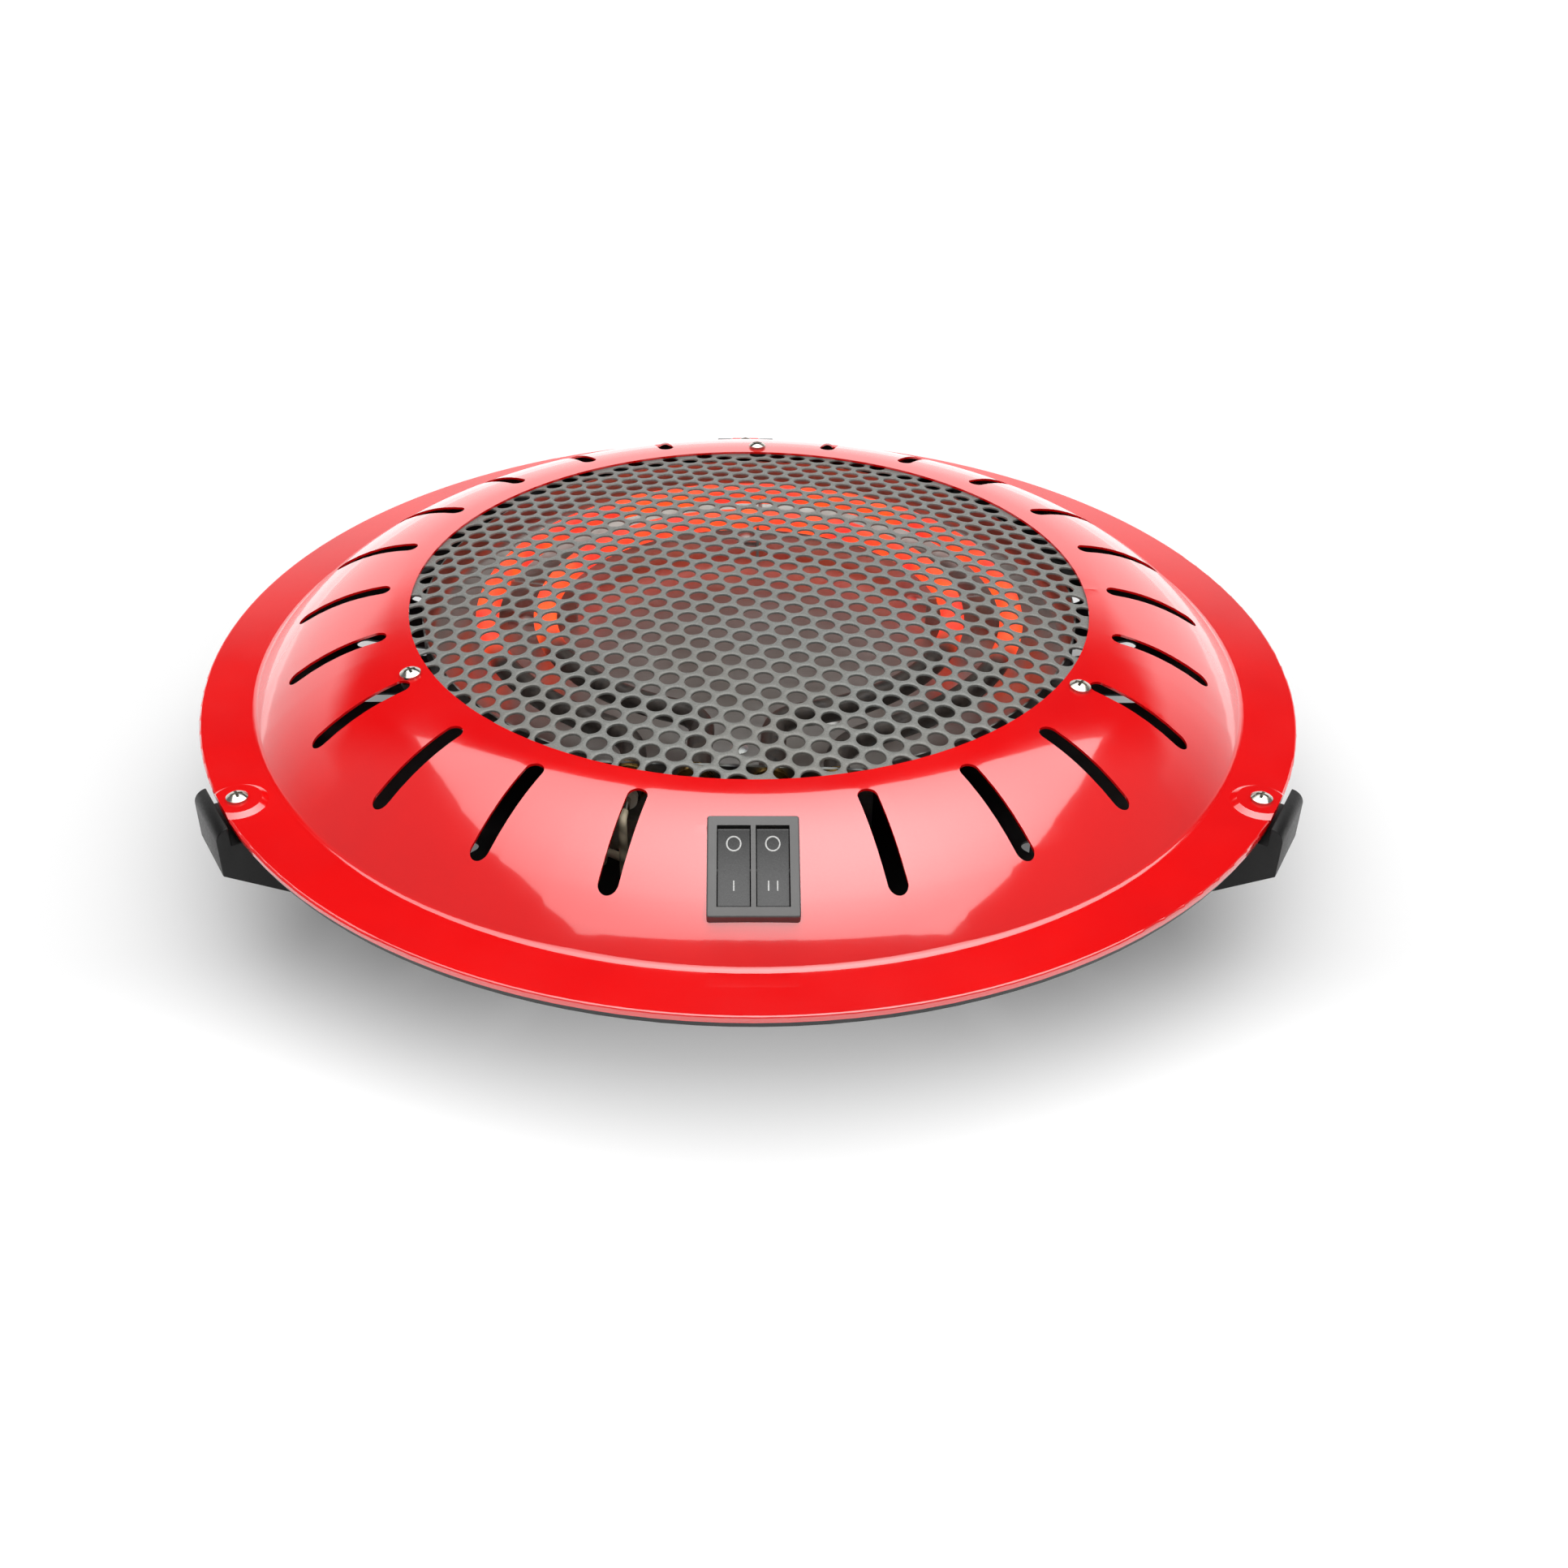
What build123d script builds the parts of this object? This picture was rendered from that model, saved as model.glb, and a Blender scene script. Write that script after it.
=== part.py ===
from build123d import *
import os
from math import asin, atan2, cos, degrees, hypot, radians, sin, sqrt, tan

os.makedirs("parts", exist_ok=True)

# Overall size, in millimetres. Z = 0 is the floor and the Z axis is the axis of the round cover.
cover_radius = 190.0
overall_height = 90.0
flange_height = 57.0
sheet = 0.8
seat_gap = 0.1
running_gap = 0.05

# Top cover: a flat flange, a domed ring and a round opening
crease_radius = 171.5
opening_radius = 117.5
opening_rise = 26.1
dome_bulge = 6.5
rim_drop = 2.0
rim_bend = 0.7
crease_bend = 2.5

# Radial cooling slots in the dome
slot_places = 24
slot_inner_radius = 125.5
slot_outer_radius = 159.0
slot_width = 6.0

# Pressed bosses on the flange, over the three feet
foot_count = 3
first_foot_angle = 90.0
rim_screw_radius = 184.6
boss_radius = 9.5
boss_rise = 1.2
boss_draft = 58.0

# Perforated grille
grille_sheet = 0.8
grille_rim_radius = 121.5
grille_tab_end = 127.5
grille_tab_radius = 4.6
grille_knee_inset = 1.0
hole_radius = 3.2
hole_pitch = 8.25
hole_pattern_turn = -14.4
perforation_margin = 0.3
grille_screw_radius = 123.5
grille_screw_angle = 88.0

# Screws and nuts
screw_head_radius = 3.4
screw_head_height = 2.1
screw_side_height = 0.8
screw_shank_radius = 1.7
screw_clearance = 0.4
recess_length = 3.8
recess_width = 0.9
recess_depth = 1.1
grille_screw_length = 6.5
rim_screw_length = 14.0
pan_screw_length = 12.0
nut_radius = 3.9
nut_height = 2.4

# Base pan: a shallow pressed dish under the cover
pan_rim_gap = 0.3
pan_skirt_drop = 3.6
pan_step_radius = 176.5
pan_floor_radius = 163.0
pan_floor_height = 37.8
pan_skirt_bend = 1.0
pan_step_bend = 3.0
pan_floor_bend = 8.0
vent_inner_radius = 124.0
vent_outer_radius = 155.0
vent_width = 6.0
vent_left_angles = (105, 120, 135, 150, 165, 180, 195, 225, 240)

# Feet with their lifting lips
foot_width = 25.0
foot_wall = 2.6
foot_heel_radius = 116.0
foot_toe_radius = 139.5
foot_floor_thickness = 3.0
lip_reach = 5.4
lip_thickness = 4.2
lip_tip_height = 40.0
lip_channel_height = 50.5
foot_screw_radius = 130.0
foot_post_radius = 4.2
foot_block_inner_radius = 176.0

# Reflector dish, turned a little about the axis as it was fitted
heater_turn = -3.0
reflector_sheet = 0.6
reflector_floor = 62.0
reflector_flat_radius = 98.0
reflector_wall_radius = 112.6
reflector_wall_foot = 69.5
reflector_top = 81.0
reflector_bends = (10.0, 6.0)
standoff_radius = 70.0
standoff_angles = (30.0, 150.0, 270.0)
standoff_across = 4.4
rivet_radius = 1.6
rivet_head_radius = 3.0
rivet_head_height = 0.9
rivet_side_height = 0.2
standoff_rivet_depth = 6.0

# Tubular heating elements
element_height = 75.0
element_radius = 4.0
outer_ring_radius = 92.0
outer_ring_shift = 3.0
outer_leg = 31.0
outer_bend = 20.0
inner_ring_radius = 71.5
inner_ring_shift = 0.0
inner_leg = 11.3
inner_bend = 12.0
leg_end = 116.0
pin_radius = 1.5
pin_length = 8.5
bead_radius = 3.4
bead_length = 2.5

# Element bracket, bushes and supports
bracket_face = 106.8
bracket_sheet = 1.2
bracket_top = 81.1
bracket_half_width = 42.0
bracket_foot_length = 22.0
bracket_rivet_inset = 3.2
bush_radius = 5.0
bush_flange_radius = 6.3
bush_flange = 1.6
bush_length = 5.0
support_angles = (10.0, 90.0, 170.0)
support_sheet = 1.0
support_inner_radius = 64.0
support_foot_outer_radius = 94.0
support_outer_radius = 97.5
support_tab_length = 12.0
support_tab_width = 8.0
support_rivet_offset = 4.5

# Double rocker switch on the front of the dome
switch_radius = 149.2
switch_angle = 270.0
switch_sink = 0.4
bezel_width = 25.9
bezel_length = 31.0
bezel_height = 2.4
bezel_round = 0.8
bezel_edge_round = 0.5
bezel_skirt = 1.8
window_length = 24.9
bay_width = 9.5
bay_divider = 1.4
body_width = 22.6
body_length = 27.8
body_depth = 18.0
body_floor = 1.5
cutout_clearance = 0.2
latch_width = 8.0
latch_reach = 1.0
latch_height = 4.0
latch_drop = 0.9

# Rockers, their pins and the levers that they work
rocker_width = 8.85
rocker_half_length = 11.7
rocker_edge_level = 2.1
rocker_hollow = 1.2
rocker_edge_round = 0.5
rocker_foot_length = 11.1
rocker_foot_level = 1.2
rocker_belly = 1.6
stem_shoulder = 4.0
rocker_tilt = 6.5
pivot_depth = 2.0
pivot_radius = 1.2
pivot_reach = 0.55
pivot_hole_depth = 0.5
stem_half_width = 2.6
stem_end = 7.0
plunger_radius = 1.0
plunger_bore_depth = 3.5
plunger_tip_drop = 10.55
plunger_end_gap = 0.2
plunger_tip_round = 0.4
lever_tilt = 5.0
lever_pivot_depth = 12.2
lever_top_depth = 11.0
lever_thickness = 0.8
lever_half_length = 9.2
lever_width = 6.0
lever_knuckle_radius = 0.9
contact_gap = 0.3
contact_offset = 8.2
contact_radius = 1.3
contact_foot_radius = 2.4
fulcrum_length = 3.6
bridge_depth = 2.0
blade_width = 5.0
blade_thickness = 0.8
blade_end = 26.0

# Cord gland in the wall of the pan
gland_angle = 60.0
gland_bore_radius = 3.7
gland_body_radius = 5.6
gland_flange_radius = 7.4
gland_flange = 3.0
gland_inner_length = 7.0
gland_nut_radius = 7.2
gland_nut_height = 3.5
gland_nut_gap = 0.15
gland_edge_round = 0.8

# Thermal cut-out and terminal block
cutout_place = (20.0, -52.0)
cutout_radius = 7.6
cutout_height = 7.0
cutout_flange_length = 24.0
cutout_flange_width = 9.0
cutout_flange = 0.8
tab_width = 4.8
tab_thickness = 0.8
tab_length = 7.0
tab_offset = 4.0
block_place = (-46.0, -84.0)
block_size = (34.0, 15.0, 12.0)
block_pole_pitch = 11.0
block_corner = 1.5
block_groove = 1.6
block_bore_height = 5.0
block_screw_radius = 2.0
block_screw_offset = 4.0
block_screw_depth = 5.0
block_screw_length = 3.5

# Insulated leads
lead_radius = 1.3
lead_insertion = 3.0
lead_start = 4.0
lead_floor_gap = 3.7
lead_level_step = 5.5
lead_block_run = 16.0
inner_lead_side = 18.0
lead_bend_share = 0.42
largest_lead_bend = 6.0

# The floor of the pan below its upper face, and the levels that stack on it
pan_underside = pan_floor_height - sheet
reflector_underside = reflector_floor - reflector_sheet
pan_flange_height = flange_height - sheet
opening_height = flange_height + opening_rise
pan_radius = cover_radius - sheet - pan_rim_gap

# Circle through the crease and the opening's edge that gives the dome its curve
dome_run = crease_radius - opening_radius
dome_chord = hypot(dome_run, opening_rise)
dome_arc_radius = dome_chord**2 / (8 * dome_bulge) + dome_bulge / 2
dome_out = opening_rise / dome_chord
dome_up = dome_run / dome_chord
dome_centre_r = (crease_radius + opening_radius) / 2 - dome_out * (dome_arc_radius - dome_bulge)
dome_centre_z = flange_height + opening_rise / 2 - dome_up * (dome_arc_radius - dome_bulge)


def dome_height(radius, depth=0.0):
    """Height of the dome at a radius, or of the surface that lies a depth inside it."""
    return dome_centre_z + sqrt((dome_arc_radius - depth) ** 2 - (radius - dome_centre_r) ** 2)


def dome_radius(height, depth=0.0):
    """Radius at which the dome, or the surface a depth inside it, has a height."""
    return dome_centre_r + sqrt((dome_arc_radius - depth) ** 2 - (height - dome_centre_z) ** 2)


def dome_plane(radius, angle, lift=0.0):
    """Plane on the dome: Z is its outward normal, X runs round the cover and Y runs uphill."""
    tilt = asin((radius - dome_centre_r) / dome_arc_radius)
    outward = Vector(cos(radians(angle)), sin(radians(angle)), 0)
    around = Vector(-sin(radians(angle)), cos(radians(angle)), 0)
    normal = outward * sin(tilt) + Vector(0, 0, cos(tilt))
    point = outward * radius + Vector(0, 0, dome_height(radius)) + normal * lift
    return Plane(origin=point, x_dir=around, z_dir=normal)


def dome_arc(outer_end, inner_end, depth):
    """Arc in the XZ plane along the surface a depth inside the dome."""
    middle = (outer_end + inner_end) / 2
    points = [(r, dome_height(r, depth)) for r in (outer_end, middle, inner_end)]
    return ThreePointArc(*points)


def cap_arc(edge_radius, edge_height, top):
    """Arc in the XZ plane from the axis at a height to an edge, level where it meets the axis."""
    drop = top - edge_height
    curve = (edge_radius**2 + drop**2) / (2 * drop)
    middle = edge_radius / 2
    return ThreePointArc((0, top), (middle, top - curve + sqrt(curve**2 - middle**2)),
                         (edge_radius, edge_height))


def polar_point(radius, angle, height):
    """Point at a radius, an angle in degrees and a height."""
    return Vector(radius * cos(radians(angle)), radius * sin(radians(angle)), height)


def radial_plane(angle):
    """Upright plane through the axis: X runs outwards at the angle and Y runs up."""
    return Plane(origin=(0, 0, 0), x_dir=polar_point(1, angle, 0), z_dir=polar_point(1, angle - 90, 0))


def flat_seat(radius, angle, height, facing=1):
    """Level plane at a point, facing up or down, whose X axis runs outwards."""
    return Plane(origin=polar_point(radius, angle, height), x_dir=polar_point(1, angle, 0),
                 z_dir=(0, 0, facing))


def screw_part(length):
    """Pan-head cross-recess screw along Z: its head stands on Z = 0 and its shank goes below."""
    with BuildPart() as screw:
        with BuildSketch(Plane.XZ):
            with BuildLine():
                cap_arc(screw_head_radius, screw_side_height, screw_head_height)
                Polyline((screw_head_radius, screw_side_height), (screw_head_radius, 0),
                         (screw_shank_radius, 0), (screw_shank_radius, -length), (0, -length),
                         (0, screw_head_height))
            make_face()
        revolve(axis=Axis.Z)
        with BuildSketch(Plane.XY.offset(screw_head_height)):
            Rectangle(recess_length, recess_width)
            Rectangle(recess_width, recess_length)
        extrude(amount=-recess_depth, mode=Mode.SUBTRACT)
    return screw.part


def rivet_part(length):
    """Domed rivet along Z: its head stands on Z = 0 and its shank goes below."""
    with BuildPart() as rivet:
        with BuildSketch(Plane.XZ):
            with BuildLine():
                cap_arc(rivet_head_radius, rivet_side_height, rivet_head_height)
                Polyline((rivet_head_radius, rivet_side_height), (rivet_head_radius, 0),
                         (rivet_radius, 0), (rivet_radius, -length), (0, -length),
                         (0, rivet_head_height))
            make_face()
        revolve(axis=Axis.Z)
    return rivet.part


def corner_radii(points):
    """Largest bend radii that a lead's straight runs allow at its inner points."""
    radii = []
    for before, point, after in zip(points, points[1:], points[2:]):
        half_turn = radians((point - before).get_angle(after - point) / 2)
        shorter = min((point - before).length, (after - point).length)
        radii.append(min(largest_lead_bend, lead_bend_share * shorter / tan(half_turn)))
    return radii


foot_angles = [first_foot_angle + k * 360 / foot_count for k in range(foot_count)]
grille_screw_angles = [grille_screw_angle + k * 360 / foot_count for k in range(foot_count)]
heater = Plane(origin=(0, 0, 0), x_dir=polar_point(1, heater_turn, 0), z_dir=(0, 0, 1))
switch_plane = dome_plane(switch_radius, switch_angle, -switch_sink)
bay_offset = (bay_width + bay_divider) / 2
bay_sides = {"left": -bay_offset, "right": bay_offset}


def heater_point(x, y, z):
    """Point given in the turned frame of the reflector and its elements."""
    return heater.from_local_coords(Vector(x, y, z))


def switch_point(u, v, w):
    """Point given across, up the slope and out of the face of the switch."""
    return switch_plane.from_local_coords(Vector(u, v, w))


def slope_plane(u):
    """Plane across the switch at a place u: X runs up the slope and Y runs out of its face."""
    return Plane(origin=switch_point(u, 0, 0), x_dir=switch_plane.y_dir, z_dir=switch_plane.x_dir)


# Top cover, pressed from one sheet
inner_opening_radius = opening_radius - sheet * (opening_radius - dome_centre_r) / dome_arc_radius
with BuildPart() as top_cover:
    with BuildSketch(Plane.XZ) as cover_section:
        with BuildLine():
            Polyline((opening_radius, opening_height),
                     (inner_opening_radius, dome_height(inner_opening_radius, sheet)))
            dome_arc(dome_radius(pan_flange_height, sheet), inner_opening_radius, sheet)
            Polyline((dome_radius(pan_flange_height, sheet), pan_flange_height),
                     (cover_radius - sheet, pan_flange_height),
                     (cover_radius - sheet, flange_height - rim_drop),
                     (cover_radius, flange_height - rim_drop), (cover_radius, flange_height),
                     (crease_radius, flange_height))
            dome_arc(crease_radius, opening_radius, 0)
        make_face()
        fillet(cover_section.vertices().sort_by_distance((cover_radius, flange_height))[0], rim_bend)
        fillet(cover_section.vertices().sort_by_distance((crease_radius, flange_height))[0],
               crease_bend)
    revolve(axis=Axis.Z)
    with BuildSketch(Plane.XY.offset(flange_height)):
        with PolarLocations(rim_screw_radius, foot_count, first_foot_angle):
            Circle(boss_radius)
    extrude(amount=boss_rise, taper=boss_draft)
    with BuildSketch(Plane.XY.offset(flange_height)):
        Circle(cover_radius + boss_radius)
        Circle(cover_radius, mode=Mode.SUBTRACT)
    extrude(amount=boss_rise + sheet, mode=Mode.SUBTRACT)
    with BuildSketch(Plane.XY.offset(pan_flange_height)):
        with PolarLocations(rim_screw_radius, foot_count, first_foot_angle):
            Circle(boss_radius - 2 * sheet)
        Circle(cover_radius - 2 * sheet, mode=Mode.INTERSECT)
    extrude(amount=boss_rise, mode=Mode.SUBTRACT)
    with BuildSketch(Plane.XY.offset(pan_flange_height)):
        with PolarLocations(rim_screw_radius, foot_count, first_foot_angle):
            Circle(screw_shank_radius + screw_clearance)
    extrude(amount=boss_rise + 2 * sheet, mode=Mode.SUBTRACT)
    slot_side_places = slot_places // 2 - 1
    slot_span = (slot_side_places - 1) * 360 / slot_places
    with BuildSketch(Plane.XY.offset(flange_height + sheet)):
        for side_angle in (0, 180):
            with PolarLocations((slot_inner_radius + slot_outer_radius) / 2, slot_side_places,
                                side_angle - slot_span / 2, slot_span, endpoint=True):
                SlotOverall(slot_outer_radius - slot_inner_radius, slot_width)
    extrude(amount=opening_rise, mode=Mode.SUBTRACT)
    for angle in grille_screw_angles:
        with BuildSketch(dome_plane(grille_screw_radius, angle)):
            Circle(screw_shank_radius + screw_clearance)
        extrude(amount=2 * sheet, both=True, mode=Mode.SUBTRACT)
    with BuildSketch(dome_plane(switch_radius, switch_angle)):
        Rectangle(body_width + 2 * cutout_clearance, body_length + 2 * cutout_clearance)
    extrude(amount=body_floor + 2 * sheet, both=True, mode=Mode.SUBTRACT)
top_cover.part.label = "top_cover"
export_step(top_cover.part, "parts/top_cover.step")

# Perforated grille, domed inside the opening, with three screwed tabs under the cover's edge
grille_depth = sheet + seat_gap
grille_knee = opening_radius - grille_knee_inset
grille_knee_height = dome_height(grille_knee, grille_depth)
cap_drop = overall_height - grille_knee_height
cap_curve = (grille_knee**2 + cap_drop**2) / (2 * cap_drop)
cap_centre_z = overall_height - cap_curve
inner_cap_curve = cap_curve - grille_sheet
inner_skirt_curve = dome_arc_radius - grille_depth - grille_sheet
between_centres = Vector(dome_centre_r, dome_centre_z - cap_centre_z)
centre_span = between_centres.length
knee_along = (centre_span**2 + inner_cap_curve**2 - inner_skirt_curve**2) / (2 * centre_span)
knee_across = sqrt(inner_cap_curve**2 - knee_along**2)
towards_skirt = between_centres.normalized()
inner_knees = [Vector(towards_skirt.X * knee_along + across * towards_skirt.Y,
                      cap_centre_z + towards_skirt.Y * knee_along - across * towards_skirt.X)
               for across in (-knee_across, knee_across)]
inner_knee = min(inner_knees, key=lambda point: abs(point.X - grille_knee))


def grille_hole_planes():
    """Planes of the staggered holes, square to the cap and clear of its knee."""
    planes = []
    perforated_radius = grille_knee - hole_radius - perforation_margin
    rows = int(2 * perforated_radius / hole_pitch) + 1
    for row in range(-rows, rows + 1):
        for column in range(-rows, rows + 1):
            place = Vector(hole_pitch * (column + row / 2), hole_pitch * row * sqrt(3) / 2, 0)
            point = place.rotate(Axis.Z, hole_pattern_turn)
            if point.length <= perforated_radius:
                normal = Vector(point.X, point.Y, sqrt(cap_curve**2 - point.length**2))
                planes.append(Plane(origin=normal + Vector(0, 0, cap_centre_z), z_dir=normal))
    return planes


with BuildPart() as grille:
    with BuildSketch(Plane.XZ):
        with BuildLine():
            cap_arc(grille_knee, grille_knee_height, overall_height)
            dome_arc(grille_tab_end, grille_knee, grille_depth)
            Polyline((grille_tab_end, dome_height(grille_tab_end, grille_depth)),
                     (grille_tab_end, dome_height(grille_tab_end, grille_depth + grille_sheet)))
            dome_arc(grille_tab_end, inner_knee.X, grille_depth + grille_sheet)
            cap_arc(inner_knee.X, inner_knee.Y, overall_height - grille_sheet)
            Polyline((0, overall_height - grille_sheet), (0, overall_height))
        make_face()
    revolve(axis=Axis.Z)
    with BuildSketch(Plane.XY.offset(overall_height)):
        Circle(grille_tab_end + grille_sheet)
        Circle(grille_rim_radius, mode=Mode.SUBTRACT)
        with PolarLocations(grille_screw_radius, foot_count, grille_screw_angle):
            Circle(grille_tab_radius, mode=Mode.SUBTRACT)
    extrude(amount=-opening_rise, mode=Mode.SUBTRACT)
    with BuildSketch(*grille_hole_planes()):
        Circle(hole_radius)
    extrude(amount=3 * grille_sheet, both=True, mode=Mode.SUBTRACT)
    for angle in grille_screw_angles:
        with BuildSketch(dome_plane(grille_screw_radius, angle, -grille_depth)):
            Circle(screw_shank_radius + screw_clearance)
        extrude(amount=2 * grille_sheet, both=True, mode=Mode.SUBTRACT)
grille.part.label = "grille"
export_step(grille.part, "parts/grille.step", write_pcurves=False)

# Screws and nuts that hold the grille to the cover
grille_screw = screw_part(grille_screw_length)
with BuildPart() as grille_screws:
    with Locations(*[dome_plane(grille_screw_radius, angle) for angle in grille_screw_angles]):
        add(grille_screw)
grille_screws.part.label = "grille_screws"
export_step(grille_screws.part, "parts/grille_screws.step")

with BuildPart() as grille_nuts:
    for angle in grille_screw_angles:
        with BuildSketch(dome_plane(grille_screw_radius, angle, -grille_depth - grille_sheet - seat_gap)):
            RegularPolygon(nut_radius, 6)
            Circle(screw_shank_radius + running_gap, mode=Mode.SUBTRACT)
        extrude(amount=-nut_height)
grille_nuts.part.label = "grille_nuts"
export_step(grille_nuts.part, "parts/grille_nuts.step")

# Base pan with its skirt, stepped wall, vents and fixing holes
wall_rise = pan_flange_height - pan_floor_height
wall_run = pan_step_radius - pan_floor_radius
wall_length = hypot(wall_rise, wall_run)
wall_middle_radius = (pan_step_radius + pan_floor_radius) / 2
wall_middle_height = (pan_flange_height + pan_floor_height) / 2
gland_outward = polar_point(wall_rise / wall_length, gland_angle, -wall_run / wall_length)
gland_plane = Plane(
    origin=polar_point(wall_middle_radius, gland_angle, wall_middle_height),
    x_dir=polar_point(1, gland_angle + 90, 0),
    z_dir=gland_outward,
)
vent_right_angles = [180 - angle for angle in vent_left_angles]
with BuildPart() as base_pan:
    with BuildSketch(Plane.XZ):
        with BuildLine():
            FilletPolyline((pan_radius, pan_flange_height - pan_skirt_drop), (pan_radius, pan_flange_height),
                           (pan_step_radius, pan_flange_height), (pan_floor_radius, pan_floor_height),
                           (0, pan_floor_height), radius=[pan_skirt_bend, pan_step_bend, pan_floor_bend])
            offset(amount=sheet, side=Side.LEFT)
        make_face()
    revolve(axis=Axis.Z)
    with BuildSketch(Plane.XY.offset(pan_underside)):
        for angle in list(vent_left_angles) + vent_right_angles:
            with PolarLocations((vent_inner_radius + vent_outer_radius) / 2, 1, angle):
                SlotOverall(vent_outer_radius - vent_inner_radius, vent_width)
        with PolarLocations(foot_screw_radius, foot_count, first_foot_angle):
            Circle(screw_shank_radius + screw_clearance)
        for angle in standoff_angles:
            with PolarLocations(standoff_radius, 1, angle + heater_turn):
                Circle(screw_shank_radius + screw_clearance)
    extrude(amount=sheet, mode=Mode.SUBTRACT)
    with BuildSketch(Plane.XY.offset(pan_flange_height)):
        with PolarLocations(rim_screw_radius, foot_count, first_foot_angle):
            Circle(screw_shank_radius + screw_clearance)
    extrude(amount=-2 * sheet, mode=Mode.SUBTRACT)
    with BuildSketch(gland_plane):
        Circle(gland_body_radius + running_gap)
    extrude(amount=2 * sheet, both=True, mode=Mode.SUBTRACT)
base_pan.part.label = "base_pan"
export_step(base_pan.part, "parts/base_pan.step")

# Spacers inside the pressed bosses
with BuildPart() as boss_spacers:
    with BuildSketch(Plane.XY.offset(pan_flange_height)):
        with PolarLocations(rim_screw_radius, foot_count, first_foot_angle):
            Circle(screw_head_radius)
            Circle(screw_shank_radius + running_gap, mode=Mode.SUBTRACT)
    extrude(amount=boss_rise)
boss_spacers.part.label = "boss_spacers"
export_step(boss_spacers.part, "parts/boss_spacers.step")

# Feet: hollow moulded wedges that clip round the pan's skirt and end in a lifting lip
lip_outer_radius = cover_radius + lip_reach
lip_inner_radius = lip_outer_radius - lip_thickness
lip_round_height = flange_height - lip_thickness
skirt_inner_radius = sqrt((pan_radius - sheet) ** 2 - (foot_width / 2) ** 2) - pan_rim_gap
foot_top = pan_flange_height - sheet - seat_gap
foot_pan_level = pan_underside - seat_gap
under_wall = (sheet + seat_gap) * wall_length / wall_rise
foot_step_radius = pan_step_radius - (pan_flange_height - foot_top) * wall_run / wall_rise + under_wall
foot_floor_radius = pan_floor_radius - (pan_floor_height - foot_pan_level) * wall_run / wall_rise + under_wall
ramp_run = lip_outer_radius - foot_toe_radius
ramp_length = hypot(ramp_run, lip_tip_height)
ramp_inner_shift = foot_wall * ramp_length / lip_tip_height
ramp_slope = lip_tip_height / ramp_run
cavity_toe_radius = foot_toe_radius + foot_floor_thickness / ramp_slope - ramp_inner_shift
cavity_block_height = (foot_block_inner_radius - foot_toe_radius + ramp_inner_shift) * ramp_slope
for foot_name, foot_angle in zip(("foot_rear", "foot_left", "foot_right"), foot_angles):
    with BuildPart() as foot:
        with BuildSketch(radial_plane(foot_angle)) as foot_section:
            with BuildLine():
                Polyline((foot_heel_radius, 0), (foot_toe_radius, 0),
                         (lip_outer_radius, lip_tip_height),
                         (lip_outer_radius, lip_round_height))
                ThreePointArc((lip_outer_radius, lip_round_height),
                              (lip_inner_radius + lip_thickness * sqrt(0.5),
                               lip_round_height + lip_thickness * sqrt(0.5)),
                              (lip_inner_radius, flange_height))
                Polyline((lip_inner_radius, flange_height), (lip_inner_radius, lip_channel_height),
                         (skirt_inner_radius, lip_channel_height),
                         (skirt_inner_radius, foot_top), (foot_step_radius, foot_top),
                         (foot_floor_radius, foot_pan_level), (foot_heel_radius, foot_pan_level),
                         (foot_heel_radius, 0))
            make_face()
        extrude(amount=foot_width / 2, both=True)
        step_edge = foot.edges().sort_by_distance(polar_point(foot_step_radius, foot_angle, foot_top))[0]
        fillet(step_edge, pan_step_bend)
        with BuildSketch(radial_plane(foot_angle)):
            with BuildLine():
                Polyline((foot_heel_radius + foot_wall, foot_floor_thickness),
                         (cavity_toe_radius, foot_floor_thickness),
                         (foot_block_inner_radius, cavity_block_height),
                         (foot_block_inner_radius, flange_height),
                         (foot_heel_radius + foot_wall, flange_height), close=True)
            make_face()
        extrude(amount=foot_width / 2 - foot_wall, both=True, mode=Mode.SUBTRACT)
        with BuildSketch(flat_seat(foot_screw_radius, foot_angle, foot_floor_thickness)):
            Circle(foot_post_radius)
        extrude(amount=foot_pan_level - foot_floor_thickness)
        with BuildSketch(flat_seat(foot_screw_radius, foot_angle, foot_pan_level)):
            Circle(screw_shank_radius + running_gap)
        extrude(amount=-pan_screw_length, mode=Mode.SUBTRACT)
        with BuildSketch(flat_seat(rim_screw_radius, foot_angle, foot_top)):
            Circle(screw_shank_radius + running_gap)
        extrude(amount=-rim_screw_length, mode=Mode.SUBTRACT)
    foot.part.label = foot_name
    export_step(foot.part, f"parts/{foot_name}.step")

# Screws through the bosses into the feet, and from the pan into the feet
rim_screw, pan_screw = screw_part(rim_screw_length), screw_part(pan_screw_length)
with BuildPart() as rim_screws:
    with Locations(*[flat_seat(rim_screw_radius, angle, flange_height + boss_rise)
                     for angle in foot_angles]):
        add(rim_screw)
rim_screws.part.label = "rim_screws"
export_step(rim_screws.part, "parts/rim_screws.step")

with BuildPart() as foot_screws:
    with Locations(*[flat_seat(foot_screw_radius, angle, pan_floor_height) for angle in foot_angles]):
        add(pan_screw)
foot_screws.part.label = "foot_screws"
export_step(foot_screws.part, "parts/foot_screws.step")

# Reflector dish with a front window for the element bracket
standoff_places = [(standoff_radius, angle + heater_turn) for angle in standoff_angles]
support_middle_radius = (inner_ring_radius + outer_ring_radius) / 2
bracket_front = bracket_face + bracket_sheet
bracket_rivets = [(side * bracket_half_width / 2, bracket_foot_length - bracket_front - bracket_rivet_inset)
                  for side in (-1, 1)]
cutout_rivets = [(cutout_place[0] + side * (cutout_radius + rivet_radius + 0.4), cutout_place[1])
                 for side in (-1, 1)]


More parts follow.
